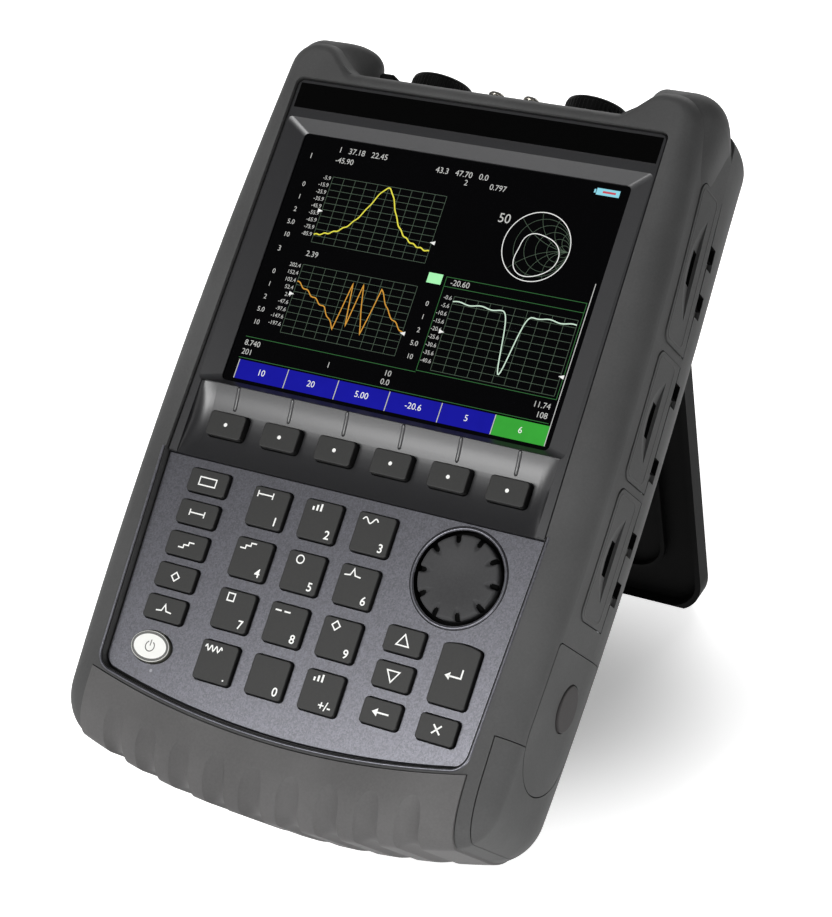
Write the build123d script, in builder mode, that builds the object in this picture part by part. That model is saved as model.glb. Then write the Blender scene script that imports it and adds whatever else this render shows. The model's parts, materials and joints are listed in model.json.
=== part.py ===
"""Handheld microwave analyzer, leaning back on its fold-out stand.

Millimetres, +Z up, front towards -Y, +X to the viewer's right. The origin is the middle of the flat
facet under the bottom end that the case rests on. Places on the case are measured from the centre of
the screen: x to the right, y up along the case, heights out of the face from the screen's surface.
"""
import os
from math import asin, cos, radians, sin, sqrt

from build123d import *

os.makedirs("parts", exist_ok=True)

# Case
lean = 40.0
case_width = 187.0
case_top_width = 173.0
case_low_width = 180.0
case_length = 292.0
case_depth = 72.0
bumper_top_y = 88.5
bumper_rise = 10.5
bumper_inner_x = 69.0
bumper_foot_x = 58.0
bumper_step_radius = 8.0
bumper_corner_radius = 12.0
bumper_corner_fade = 6.0
rear_corner_radius = 5.5
low_corner_radius = 18.0
bottom_bow_radius = 300.0
widest_y = -45.0
rim_height = 5.5
seam_depth = 36.0
case_wall = 3.0
seam_gap = 0.4
overrun = 20.0

# Rounding of the case's front and back edges, as quarter ellipses
front_round_height = 11.5
front_side_round = 11.0
front_end_round = 17.0
front_top_round = 6.0
back_side_round = 22.0
back_end_round = 24.0
back_top_round = 7.0
round_steps = 4
rest_facet_depth = 1.2

# Rubber lobes round the front's top corners, drawn in from their widest section to both ends
lobe_top_y = 93.0
lobe_outer_x = 90.4
lobe_outer_taper = 2.0
lobe_inner_x = 60.0
lobe_foot_x = 57.5
lobe_foot_drop = 2.0
lobe_low_y = 48.0
lobe_draw = 4.8
lobe_inner_draw = 9.6
lobe_outer_radius = 10.0
lobe_inner_radius = 5.0
lobe_height_shares = (-1.0, -0.8, -0.35, 0.0, 0.11)
lobe_draw_shares = (0.7, 0.4, 0.0, 1.0, 2.0)
lobe_inner_shares = (0.9, 0.5, 0.0, 1.0, 0.9)

# Grip round the bottom end
grip_proud = 0.6
grip_thickness = 3.0
grip_half_width = 79.0
grip_top_y = -178.0
grip_top_bow = 9.5
grip_back_depth = 60.0
flute_count = 9
flute_pitch = 15.7
flute_radius = 6.0
flute_depth = 2.0
flute_bend_radius = 17.0
flute_bend_height = -8.0
flute_back_depth = 48.0
flute_turn = 66.0
flute_exit = 14.0

# Screen, window and bezel
window_width = 139.0
window_top_y = 50.0
window_low_y = -51.5
window_corner = 2.0
window_lip = 0.6
glass_thickness = 1.2
glass_lap = 3.0
display_thickness = 7.0
panel_width = 160.0
panel_top_width = 156.6
panel_corner = 3.0
panel_gap = 0.5
panel_edge = 0.5
panel_seat = 2.0
panel_ledge = 3.0
ledge_thickness = 2.5
bezel_height = 4.4
bezel_top_y = 70.6
bezel_low_y = -83.0
slope_half_width = 77.5
slope_top_y = 55.0
slope_low_y = -54.0
shelf_width = 152.0
shelf_top_y = -53.5
shelf_depth = 2.6
shelf_rim_height = 2.8
strip_width = 153.6
strip_low_y = 58.8
strip_top_y = 69.0
strip_thickness = 0.8
strip_proud = 0.15

# Keypad plate
plate_height = 2.5
plate_low_width = 153.4
plate_side_y = -166.0
plate_low_bow = 8.8
plate_corner = 6.0

# Keys
key_gap = 0.4
key_lip = 0.8
key_flange = 1.0
key_travel = 1.0
key_rise = 1.9
key_corner = 1.4
key_edge = 0.5
softkey_count = 6
softkey_pitch = 23.9
softkey_y = -68.8
softkey_width = 15.6
softkey_height = 9.6
softkey_top = 3.4
function_count = 5
function_x = -58.3
function_first_y = -91.6
function_pitch = 12.4
function_width = 17.0
function_height = 9.2
number_pitch_x = 22.5
number_pitch_y = 19.8
number_first_x = -30.3
number_first_y = -95.6
number_width = 15.6
number_height = 15.0
arrow_x = 39.8
arrow_width = 15.2
arrow_height = 9.5
up_y = -129.6
down_y = -142.6
back_y = -156.2
enter_x = 62.5
enter_y = -136.5
enter_height = 22.6
enter_bow = 1.2
escape_y = -156.3
power_x = -59.2
power_y = -155.9
power_width = 17.0
power_height = 12.0
power_rise = 1.6

# Knob and its encoder
knob_x = 51.8
knob_y = -103.0
knob_radius = 15.6
knob_dish_radius = 17.4
knob_dish_depth = 3.5
knob_top = 3.8
knob_gap = 0.6
knob_edge = 1.0
knob_scoop_radius = 90.0
knob_scoop_depth = 0.9
knob_notch_count = 10
knob_notch_radius = 1.3
knob_notch_length = 4.6
knob_notch_tilt = 18.0
knob_bore_depth = 2.4
encoder_width = 13.0
bushing_radius = 4.5
shaft_radius = 3.0
running_clearance = 0.05

# Boards and modules inside
dome_radius = 2.5
dome_height = 0.6
dome_clearance = 0.25
board_thickness = 1.6
board_side_gap = 3.8
keypad_board_low_y = -162.0
keypad_board_top_y = -60.0
main_board_low_y = -104.0
main_board_top_y = 58.0
shield_width = 60.0
shield_length = 44.0
shield_x = 25.0
shield_y = 22.0
shield_gap = 5.0
module_side_gap = 7.8
module_low_y = 4.0
module_top_y = 70.0
module_back_depth = 42.0
battery_left_x = -62.0
battery_right_x = 76.0
battery_low_y = -172.0
battery_top_y = -117.0
battery_thickness = 24.0
rib_thickness = 3.0
rib_width = 110.0
rib_ys = (20.0, 52.0, -130.0, -164.0)
back_wall = 13.5

# Ports on the top
port_x = 33.5
port_depth = 25.0
port_radius = 9.4
port_top_y = 85.0
cap_radius = 12.1
cap_top_y = 88.0
cap_clearance = 0.3
cap_edge = 1.5
jack_x = 7.5
jack_depth = 21.0
jack_thread_radius = 3.175
jack_thread_length = 6.0
jack_base_radius = 4.2
jack_base_height = 1.6
jack_bore_radius = 2.3
jack_bore_depth = 3.5
plug_x = -49.8
plug_depth = 17.0
plug_width = 6.6
plug_length = 16.0
plug_height = 5.0
plug_stem_width = 4.0
plug_edge = 1.2

# Doors on the right side
door_centre_ys = (31.3, -27.2, -79.5)
door_lengths = (60.7, 48.5, 49.0)
door_width = 21.0
door_thickness = 3.2
door_proud = 0.3
door_gap = 0.4
door_corner = 4.0
door_scoop_low = 8.4
door_scoop_width = 9.0
door_scoop_length_share = 0.64
door_scoop_depth = 1.5
door_slot_length = 13.0
door_slot_width = 5.0
door_slot_depth = 2.5
door_window_length = 9.0
door_window_width = 5.4
door_window_depth = 4.0
door_window_places = (9.4, 14.4, 9.4)
door_step_length = 3.4
door_step_depth = 2.0
door_pin_radius = 0.8
door_pin_overhang = 1.2
socket_depth = 9.0
socket_wall = 0.6
usb_width = 13.2
usb_height = 5.8
usb_tongue = 1.8
usb_spacing = 20.0
card_width = 25.0
card_height = 3.4
jack_socket_radius = 4.0
jack_socket_bore = 1.8
power_socket_radius = 5.2
power_socket_bore = 3.1
power_socket_pin = 1.0

# Battery door at the lower right corner
corner_cover_width = 5.5
corner_top_y = -153.0
corner_back_depth = 52.0
tongue_top_y = -115.0
tongue_low_y = -167.0
tongue_front_depth = 5.0
tongue_back_depth = 46.0
tongue_thickness = 7.0
tongue_corner = 2.0
latch_y = -134.2
latch_depth = 28.5
latch_length = 17.4
latch_width = 15.0
latch_rise = 0.7
latch_lip = 1.0
latch_flange = 1.0
latch_travel = 1.5

# Stand
stand_open = 52.5
stand_pivot_y = 68.0
stand_pivot_inset = 4.6
stand_width = 117.0
stand_thickness = 8.0
stand_wall = 2.5
stand_floor = 2.4
stand_foot_corner = 18.0
stand_foot_trim = 1.6
stand_gap = 0.6
stand_rib_width = 1.8
stand_rib_height = 3.0
stand_loop_insets = (17.0, 33.0)
stand_loop_corner = 16.0
stand_pin_radius = 2.5
stand_pin_hold = 5.0

# Screws through the back
screw_inset = 8.5
screw_ys = (64.0, -1.0, -109.0)
screw_radius = 1.5
screw_head_radius = 2.9
screw_head_height = 2.4
screw_head_depth = 55.0
screw_length = 38.0
screw_sink_radius = 3.6
screw_boss_radius = 4.2
screw_slot_radius = 1.4
screw_slot_depth = 1.4

# The face plane leans back, and the rest facet's middle is the origin
bottom_y = bumper_top_y - case_length
top_y = bumper_top_y - bumper_rise
back_depth = case_depth - rim_height
rear_thickness = back_depth - seam_depth
screw_x = case_top_width / 2 - screw_inset
board_width = 2 * (screw_x - screw_boss_radius - board_side_gap)
module_width = 2 * (screw_x - screw_boss_radius - module_side_gap)
corner_split_x = case_low_width / 2 - corner_cover_width
tongue_inner_x = case_width / 2 - tongue_thickness
nose_y = bottom_y - grip_proud + back_end_round
nose_rise = rear_thickness + grip_proud
up = Vector(0, sin(radians(lean)), cos(radians(lean)))
out = Vector(0, -cos(radians(lean)), sin(radians(lean)))
nose_reach = sqrt((back_end_round * cos(radians(lean))) ** 2 + (nose_rise * sin(radians(lean))) ** 2)
rest_share = (1 - rest_facet_depth / nose_reach) / nose_reach
rest_y = nose_y - back_end_round**2 * cos(radians(lean)) * rest_share
rest_height = -seam_depth - nose_rise**2 * sin(radians(lean)) * rest_share
face = Plane(origin=-(up * rest_y + out * rest_height), x_dir=(1, 0, 0), z_dir=out)
top_plane = Plane(origin=face.from_local_coords((0, top_y, 0)), x_dir=(1, 0, 0), z_dir=up)
profile_plane = Plane(origin=face.origin, x_dir=up, z_dir=(1, 0, 0))
face_axis = Axis(face.origin, out)
up_axis = Axis(face.origin, up)


def save(piece, name):
    """Label a finished piece and write it to its own file."""
    piece.part.label = name
    export_step(piece.part, f"parts/{name}.step")


# Form of the case


def case_section(height, side_in, end_in, top_in, corner):
    """Outline of the case at one height, drawn in from the widest outline at its sides and ends.

    The radius of the bumpers' outer corners is zero on a form without bumpers.
    """
    low_x = case_low_width / 2 - side_in
    bow = bottom_bow_radius - end_in
    low_y = bottom_y + bottom_bow_radius - sqrt(bow**2 - low_x**2)
    mid_x = case_width / 2 - side_in
    high_x = case_top_width / 2 - top_in
    high_y = bumper_top_y - top_in
    foot_y = top_y - top_in
    with BuildSketch(face.offset(height)) as section:
        with BuildLine():
            ThreePointArc((-low_x, low_y), (0, bottom_y + end_in), (low_x, low_y))
            ThreePointArc((low_x, low_y), (mid_x, widest_y), (high_x, high_y))
            if corner:
                Polyline(
                    (high_x, high_y),
                    (bumper_inner_x, high_y),
                    (bumper_foot_x, foot_y),
                    (-bumper_foot_x, foot_y),
                    (-bumper_inner_x, high_y),
                    (-high_x, high_y),
                )
            else:
                Line((high_x, high_y), (-high_x, high_y))
            ThreePointArc((-high_x, high_y), (-mid_x, widest_y), (-low_x, low_y))
        make_face()
        fillet(section.vertices().group_by(Axis.Y)[0], low_corner_radius)
        if corner:
            tops = section.vertices().group_by(Axis.Y)[-1].sort_by(Axis.X)
            feet = section.vertices().group_by(Axis.Y)[-2]
            fillet([tops[1], tops[2], feet[0], feet[1]], bumper_step_radius)
            tops = section.vertices().group_by(Axis.Y)[-1].sort_by(Axis.X)
            fillet([tops[0], tops[-1]], corner)
    return section.sketch


def rounded_sections(start, rise, rounds, inset, corner):
    """Sections of an edge that rounds over from the straight wall to a flat end."""
    side_round, end_round, top_round, corner_fade = rounds
    sections = []
    for step in range(round_steps + 1):
        turn = radians(90 * step / round_steps)
        in_share = 1 - cos(turn)
        sections.append(
            case_section(
                start + rise * sin(turn),
                inset + side_round * in_share,
                inset + end_round * in_share,
                inset + top_round * in_share,
                corner - corner_fade * in_share if corner else corner,
            )
        )
    return sections


def front_form(inset, corner):
    """Solid front half of the case, drawn in by an even inset."""
    start = rim_height - front_round_height
    with BuildPart() as form:
        extrude(case_section(-seam_depth, inset, inset, inset, corner), amount=seam_depth + start)
        rounds = (front_side_round, front_end_round, front_top_round, bumper_corner_fade)
        loft(rounded_sections(start, front_round_height - inset, rounds, inset, corner))
    return form.part


def rear_form(inset, thickness, corner):
    """Solid rear half of the case, drawn in by an even inset and made as deep as asked."""
    with BuildPart() as form:
        rounds = (back_side_round, back_end_round, back_top_round, 0)
        loft(rounded_sections(-seam_depth, -thickness, rounds, inset, corner))
    return form.part


def plain_form(inset):
    """Both halves of the case's form in one, without the bumpers."""
    with BuildPart() as form:
        add(front_form(inset, 0))
        add(rear_form(inset, rear_thickness - inset, 0))
    return form.part


def panel_outline(plane, inset):
    """Outline of the bezel and the keypad plate together."""
    half = panel_width / 2 - inset
    top_half = panel_top_width / 2 - inset
    low_half = plate_low_width / 2 - inset
    with BuildSketch(plane) as outline:
        with BuildLine():
            Polyline(
                (-low_half, plate_side_y + inset),
                (-half, bezel_low_y),
                (-top_half, bezel_top_y - inset),
                (top_half, bezel_top_y - inset),
                (half, bezel_low_y),
                (low_half, plate_side_y + inset),
            )
            ThreePointArc(
                (low_half, plate_side_y + inset),
                (0, plate_side_y - plate_low_bow + inset),
                (-low_half, plate_side_y + inset),
            )
        make_face()
        fillet(outline.vertices().group_by(Axis.Y)[-1], panel_corner)
        fillet(outline.vertices().group_by(Axis.Y)[0], plate_corner)
    return outline.sketch


def grip_band(plane, gap):
    """Front view of the grip, run past the bottom end."""
    half = grip_half_width + gap
    with BuildSketch(plane) as band:
        with BuildLine():
            high = grip_top_y + grip_top_bow + gap
            low = bottom_y - overrun
            ThreePointArc((-half, high), (0, grip_top_y + gap), (half, high))
            Polyline((half, high), (half, low), (-half, low), (-half, high))
        make_face()
    return band.sketch


def side_point(y):
    """Place and direction of the right side's edge line at a place along the case."""
    low_x = case_low_width / 2
    low_y = bottom_y + bottom_bow_radius - sqrt(bottom_bow_radius**2 - low_x**2)
    ends = [(low_x, low_y), (case_width / 2, widest_y), (case_top_width / 2, bumper_top_y)]
    edge = Edge.make_three_point_arc(*[face.from_local_coords((x, y_place, 0)) for x, y_place in ends])
    share = (y - low_y) / (bumper_top_y - low_y)
    return edge.position_at(share), edge.tangent_at(share)


def bumper_lobe(side):
    """Rubber lobe round one top corner of the front, through sections from its back to its front."""
    sections = []
    for height_share, draw_share, inner_share in zip(
        lobe_height_shares, lobe_draw_shares, lobe_inner_shares
    ):
        draw = lobe_draw * draw_share
        outer = lobe_outer_x - draw
        high = lobe_top_y - draw
        inner = lobe_inner_x + lobe_inner_draw * inner_share
        with BuildSketch(face.offset(seam_depth * height_share)) as section:
            with BuildLine():
                Polyline(
                    (side * (outer - lobe_outer_taper), lobe_low_y),
                    (side * outer, high),
                    (side * inner, high),
                    (side * lobe_foot_x, top_y - lobe_foot_drop),
                    (side * lobe_foot_x, lobe_low_y),
                    close=True,
                )
            make_face()
            tops = section.vertices().group_by(Axis.Y)[-1].sort_by(Axis.X)
            fillet(tops[-1] if side > 0 else tops[0], lobe_outer_radius)
            tops = section.vertices().group_by(Axis.Y)[-1].sort_by(Axis.X)
            fillet(tops[0] if side > 0 else tops[-1], lobe_inner_radius)
        sections.append(section.sketch)
    with BuildPart() as lobe:
        loft(sections)
    return lobe.part


with BuildPart() as outer_front:
    add(front_form(0, bumper_corner_radius))
    for side in (-1, 1):
        add(bumper_lobe(side))
outer_rear = rear_form(0, rear_thickness, rear_corner_radius)

# Grip space: what the grip fills, with a small gap behind it
with BuildPart() as grip_space:
    extrude(grip_band(face.offset(-grip_back_depth - seam_gap), seam_gap), amount=grip_back_depth + overrun)
    add(plain_form(grip_thickness + seam_gap), mode=Mode.SUBTRACT)


def flute_cutter(across):
    """Round bar that runs along the bottom wall, bends over the front edge and rises out of it."""
    sag = bottom_bow_radius - sqrt(bottom_bow_radius**2 - across**2)
    wall_y = bottom_y - grip_proud + sag + flute_depth - flute_radius
    middle_y = wall_y + flute_bend_radius
    turns = [radians(flute_turn * share) for share in (0, 1 / 2, 1)]
    bend = []
    for turn in turns:
        bend_y = middle_y - flute_bend_radius * cos(turn)
        bend.append((bend_y, flute_bend_height + flute_bend_radius * sin(turn)))
    exit_y = bend[2][0] + flute_exit * sin(turns[2])
    exit_height = bend[2][1] + flute_exit * cos(turns[2])
    with BuildPart() as cutter:
        with BuildLine(profile_plane.offset(across)) as path:
            Line((wall_y, -flute_back_depth), bend[0])
            ThreePointArc(*bend)
            Line(bend[2], (exit_y, exit_height))
        with BuildSketch(Plane(origin=path.line @ 0, z_dir=path.line % 0)):
            Circle(flute_radius)
        sweep(path=path.line)
    return cutter.part


# Fluted grip, cut flat where the case rests on it
with BuildPart() as bottom_grip:
    add(plain_form(-grip_proud))
    band = grip_band(face.offset(-grip_back_depth), 0)
    extrude(band, amount=grip_back_depth + overrun, mode=Mode.INTERSECT)
    add(plain_form(grip_thickness), mode=Mode.SUBTRACT)
    for flute in range(flute_count):
        across = (flute - (flute_count - 1) / 2) * flute_pitch
        add(flute_cutter(across), mode=Mode.SUBTRACT)
    split(bisect_by=Plane.XY, keep=Keep.TOP)
save(bottom_grip, "bottom_grip")

# Battery door: the lower right corner of the case, with a tongue up the side wall


def corner_block(gap):
    """Space of the corner cover, run past the outside of the case."""
    reach = case_width / 2 - corner_split_x + gap + overrun
    with BuildPart() as block:
        with BuildSketch(profile_plane.offset(corner_split_x - gap)):
            with BuildLine():
                Polyline(
                    (corner_top_y + gap, rim_height + overrun),
                    (corner_top_y + gap, -corner_back_depth - gap),
                    (bottom_y - overrun, -corner_back_depth - gap),
                    (bottom_y - overrun, rim_height + overrun),
                    close=True,
                )
            make_face()
        extrude(amount=reach)
    return block.part


def tongue_block(gap):
    """Space of the tongue, square at its top and round at its low end."""
    low_radius = (tongue_back_depth - tongue_front_depth) / 2
    middle = -(tongue_back_depth + tongue_front_depth) / 2
    half = low_radius + gap
    reach = case_width / 2 - tongue_inner_x + gap + overrun
    with BuildPart() as block:
        with BuildSketch(profile_plane.offset(tongue_inner_x - gap)) as outline:
            with BuildLine():
                Polyline(
                    (tongue_low_y + low_radius, middle + half),
                    (tongue_top_y + gap, middle + half),
                    (tongue_top_y + gap, middle - half),
                    (tongue_low_y + low_radius, middle - half),
                )
                ThreePointArc(
                    (tongue_low_y + low_radius, middle - half),
                    (tongue_low_y - gap, middle),
                    (tongue_low_y + low_radius, middle + half),
                )
            make_face()
            fillet(outline.vertices().group_by(Axis.X)[-1], tongue_corner)
        extrude(amount=reach)
    return block.part


def latch_outline(plane, grow):
    """Oval of the release button on the side wall."""
    with BuildSketch(plane) as oval:
        with Locations((latch_y, -latch_depth)):
            Ellipse(latch_length / 2 + grow, latch_width / 2 + grow)
    return oval.sketch


with BuildPart() as battery_door:
    add(plain_form(0))
    add(corner_block(0), mode=Mode.INTERSECT)
    add(plain_form(case_wall), mode=Mode.SUBTRACT)
    add(tongue_block(seam_gap), mode=Mode.SUBTRACT)
save(battery_door, "battery_door")

with BuildPart() as battery_door_panel:
    add(plain_form(0))
    add(tongue_block(0), mode=Mode.INTERSECT)
    latch_hole = latch_outline(profile_plane.offset(tongue_inner_x), key_gap)
    extrude(latch_hole, amount=overrun, mode=Mode.SUBTRACT)
save(battery_door_panel, "battery_door_panel")

latch_top_x = side_point(latch_y)[0].X + latch_rise
with BuildPart() as battery_door_button:
    extrude(latch_outline(profile_plane.offset(tongue_inner_x), 0), amount=latch_top_x - tongue_inner_x)
    fillet(battery_door_button.faces().sort_by(Axis.X)[-1].edges(), latch_rise)
    extrude(latch_outline(profile_plane.offset(tongue_inner_x), latch_lip), amount=-latch_flange)
save(battery_door_button, "battery_door_button")

# Room behind the release button's flange for its travel
with BuildPart() as latch_space:
    latch_room = latch_outline(profile_plane.offset(tongue_inner_x), latch_lip + seam_gap)
    extrude(latch_room, amount=-latch_flange - latch_travel - seam_gap)

# Doors on the right side: each is a plate with a full-round hinge edge along the case seam
hinge_radius = door_thickness / 2
hinge_depth = seam_depth - hinge_radius - door_gap
door_planes = []
for centre_y in door_centre_ys:
    place, along = side_point(centre_y)
    door_planes.append(Plane(origin=place - out * hinge_depth, x_dir=along, z_dir=along.cross(out)))
hinge_lift = door_proud - hinge_radius


def door_blank(plane, length, grow, low, high):
    """Rounded plate on a door's plane, from the hinge line or a little below it up to a height."""
    floor = door_proud - door_thickness - grow
    half = length / 2 + grow
    with BuildPart() as blank:
        with BuildSketch(plane.offset(floor)) as outline:
            with BuildLine():
                far = door_width + grow
                Polyline((-half, low), (-half, far), (half, far), (half, low), close=True)
            make_face()
            fillet(outline.vertices().group_by(Axis.Y)[-1], door_corner + grow)
        extrude(amount=high - floor)
    return blank.part


def hinge_rod(plane, length, radius):
    """Round bar along a door's hinge line."""
    middle = plane.from_local_coords((0, 0, hinge_lift))
    with BuildPart() as rod:
        with BuildSketch(Plane(origin=middle, x_dir=plane.z_dir, z_dir=plane.x_dir)):
            Circle(radius)
        extrude(amount=length / 2, both=True)
    return rod.part


def door_scoop(plane, length):
    """Finger scoop: a shallow bowl ended by a straight wall."""
    half = length * door_scoop_length_share / 2
    rim_radius = (half**2 + door_scoop_width**2) / (2 * door_scoop_width)
    behind = rim_radius - door_scoop_width
    ball_radius = (rim_radius**2 - behind**2) / (2 * door_scoop_depth)
    lift = sqrt(ball_radius**2 - rim_radius**2)
    with BuildPart() as scoop:
        with Locations(plane.location):
            with Locations((0, door_scoop_low - behind, door_proud + lift)):
                Sphere(ball_radius)
        wall = Plane(origin=plane.from_local_coords((0, door_scoop_low, 0)), z_dir=plane.y_dir)
        split(bisect_by=wall, keep=Keep.TOP)
    return scoop.part


door_names = ("port_door_upper", "port_door_middle", "port_door_lower")
for door_name, plane, length in zip(door_names, door_planes, door_lengths):
    with BuildPart() as port_door:
        add(door_blank(plane, length, 0, 0, door_proud))
        add(hinge_rod(plane, length, hinge_radius))
        add(door_scoop(plane, length), mode=Mode.SUBTRACT)
        with BuildSketch(plane.offset(door_proud)):
            with Locations((0, door_scoop_low + door_slot_width / 2)):
                Rectangle(door_slot_length, door_slot_width)
        extrude(amount=-door_slot_depth, mode=Mode.SUBTRACT)
        add(hinge_rod(plane, length + overrun, door_pin_radius + running_clearance), mode=Mode.SUBTRACT)
    save(port_door, door_name)

with BuildPart() as door_hinge_pins:
    for plane, length in zip(door_planes, door_lengths):
        add(hinge_rod(plane, length + 2 * door_pin_overhang, door_pin_radius))
save(door_hinge_pins, "door_hinge_pins")

# Sockets behind the doors, flush with the floor of each recess
socket_top = door_proud - door_thickness - door_gap


def usb_outline(plane, across, inset):
    """Mouth of a flat socket, lying across the door."""
    with BuildSketch(plane) as mouth:
        with Locations((across, door_width / 2)):
            Rectangle(usb_width - 2 * inset, usb_height - 2 * inset)
    return mouth.sketch


with BuildPart() as side_sockets:
    card_plane = door_planes[0].offset(socket_top)
    with BuildSketch(card_plane):
        with Locations((0, door_width / 2)):
            Rectangle(card_width, card_height)
            Rectangle(card_width - 2 * socket_wall, card_height - 2 * socket_wall, mode=Mode.SUBTRACT)
    extrude(amount=-socket_depth)
    usb_plane = door_planes[1].offset(socket_top)
    for across in (-usb_spacing / 2, usb_spacing / 2):
        extrude(usb_outline(usb_plane, across, 0), amount=-socket_depth)
        mouth = usb_outline(usb_plane, across, socket_wall)
        extrude(mouth, amount=socket_wall - socket_depth, mode=Mode.SUBTRACT)
        with BuildSketch(usb_plane.offset(-socket_depth)):
            with Locations((across, door_width / 2)):
                Rectangle(usb_width - 4 * socket_wall, usb_tongue)
        extrude(amount=socket_depth - socket_wall)
    power_plane = door_planes[2].offset(socket_top)
    with BuildSketch(power_plane):
        with Locations((usb_spacing / 2, door_width / 2)):
            Circle(power_socket_radius)
        with Locations((-usb_spacing / 2, door_width / 2)):
            Circle(jack_socket_radius)
    extrude(amount=-socket_depth)
    with BuildSketch(power_plane):
        with Locations((usb_spacing / 2, door_width / 2)):
            Circle(power_socket_bore)
            Circle(power_socket_pin, mode=Mode.SUBTRACT)
        with Locations((-usb_spacing / 2, door_width / 2)):
            Circle(jack_socket_bore)
    extrude(amount=socket_wall - socket_depth, mode=Mode.SUBTRACT)
save(side_sockets, "side_sockets")

# Holes that the sockets stand in
with BuildPart() as socket_holes:
    with BuildSketch(card_plane):
        with Locations((0, door_width / 2)):
            Rectangle(card_width, card_height)
    extrude(amount=-socket_depth)
    for across in (-usb_spacing / 2, usb_spacing / 2):
        extrude(usb_outline(usb_plane, across, 0), amount=-socket_depth)
    with BuildSketch(power_plane):
        with Locations((usb_spacing / 2, door_width / 2)):
            Circle(power_socket_radius + running_clearance)
        with Locations((-usb_spacing / 2, door_width / 2)):
            Circle(jack_socket_radius + running_clearance)
    extrude(amount=-socket_depth)

# Screws, put in from the back
screw_places = [(side * screw_x, y) for side in (-1, 1) for y in screw_ys]

with BuildPart() as case_screws:
    with BuildSketch(face.offset(-screw_head_depth)):
        with Locations(*screw_places):
            Circle(screw_radius)
    extrude(amount=screw_length)
    with BuildSketch(face.offset(-screw_head_depth)):
        with Locations(*screw_places):
            Circle(screw_head_radius)
    extrude(amount=-screw_head_height)
    with BuildSketch(face.offset(-screw_head_depth - screw_head_height)):
        with Locations(*screw_places):
            RegularPolygon(screw_slot_radius, 6)
    extrude(amount=screw_slot_depth, mode=Mode.SUBTRACT)
save(case_screws, "case_screws")

# Keys: label, x, y, width and height
softkeys = []
for index in range(softkey_count):
    across = (index - (softkey_count - 1) / 2) * softkey_pitch
    softkeys.append((f"softkey_{index + 1}", across, softkey_y, softkey_width, softkey_height))
plate_keys = []
for index in range(function_count):
    down = function_first_y - index * function_pitch
    plate_keys.append((f"function_key_{index + 1}", function_x, down, function_width, function_height))
number_names = [f"number_key_{number}" for number in range(1, 10)]
number_names += ["point_key", "number_key_0", "sign_key"]
for index, key_name in enumerate(number_names):
    across = number_first_x + index % 3 * number_pitch_x
    down = number_first_y - index // 3 * number_pitch_y
    plate_keys.append((key_name, across, down, number_width, number_height))
plate_keys.append(("up_key", arrow_x, up_y, arrow_width, arrow_height))
plate_keys.append(("down_key", arrow_x, down_y, arrow_width, arrow_height))
plate_keys.append(("back_key", arrow_x, back_y, arrow_width, arrow_height))
plate_keys.append(("escape_key", enter_x, escape_y, arrow_width, arrow_height))
flange_low = -panel_seat - key_flange
board_top = flange_low - key_travel - dome_clearance - dome_height


def key_outlines(plane, keys, grow):
    """Rounded outlines of a set of keys, grown all round."""
    with BuildSketch(plane) as outlines:
        for _, x, y, width, height in keys:
            with Locations((x, y)):
                RectangleRounded(width + 2 * grow, height + 2 * grow, key_corner + grow)
    return outlines.sketch


def enter_outline(plane, grow):
    """Tall key whose top edge bows upwards."""
    half = arrow_width / 2 + grow
    low = enter_y - enter_height / 2 - grow
    high = enter_y + enter_height / 2 - enter_bow + grow
    with BuildSketch(plane) as outline:
        with BuildLine():
            left = enter_x - half
            right = enter_x + half
            Polyline((left, high), (left, low), (right, low), (right, high))
            ThreePointArc((right, high), (enter_x, high + enter_bow), (left, high))
        make_face()
        fillet(outline.vertices(), key_corner + grow)
    return outline.sketch


def power_outline(plane, grow):
    """Oval of the power button."""
    with BuildSketch(plane) as outline:
        with Locations((power_x, power_y)):
            Ellipse(power_width / 2 + grow, power_height / 2 + grow)
    return outline.sketch


def make_key(label, outline, lip_outline, top):
    """Key cap with a flange that stops it under the panel."""
    with BuildPart() as key:
        extrude(outline, amount=top + panel_seat)
        fillet(key.faces().sort_by(face_axis)[-1].edges(), key_edge)
        extrude(lip_outline, amount=-key_flange)
    save(key, label)


seat_plane = face.offset(-panel_seat)
for key in softkeys + plate_keys:
    top = softkey_top if key in softkeys else plate_height + key_rise
    make_key(key[0], key_outlines(seat_plane, [key], 0), key_outlines(seat_plane, [key], key_lip), top)
enter_outlines = enter_outline(seat_plane, 0), enter_outline(seat_plane, key_lip)
make_key("enter_key", *enter_outlines, plate_height + key_rise)
power_outlines = power_outline(seat_plane, 0), power_outline(seat_plane, key_lip)
make_key("power_button", *power_outlines, plate_height + power_rise)

# Keypad plate with its key holes and the dish that the knob turns in
with BuildPart() as keypad_plate:
    extrude(panel_outline(seat_plane, 0), amount=plate_height + panel_seat)
    split(bisect_by=Plane(origin=face.from_local_coords((0, bezel_low_y, 0)), z_dir=up), keep=Keep.BOTTOM)
    chamfer(keypad_plate.faces().sort_by(face_axis)[-1].edges(), panel_edge)
    extrude(key_outlines(seat_plane, plate_keys, key_gap), amount=overrun, mode=Mode.SUBTRACT)
    extrude(enter_outline(seat_plane, key_gap), amount=overrun, mode=Mode.SUBTRACT)
    extrude(power_outline(seat_plane, key_gap), amount=overrun, mode=Mode.SUBTRACT)
    with BuildSketch(face.offset(plate_height)):
        with Locations((knob_x, knob_y)):
            Circle(knob_dish_radius)
    extrude(amount=-knob_dish_depth, mode=Mode.SUBTRACT)
    with BuildSketch(seat_plane):
        with Locations((knob_x, knob_y)):
            Circle(bushing_radius + key_gap)
    extrude(amount=overrun, mode=Mode.SUBTRACT)
save(keypad_plate, "keypad_plate")

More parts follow.
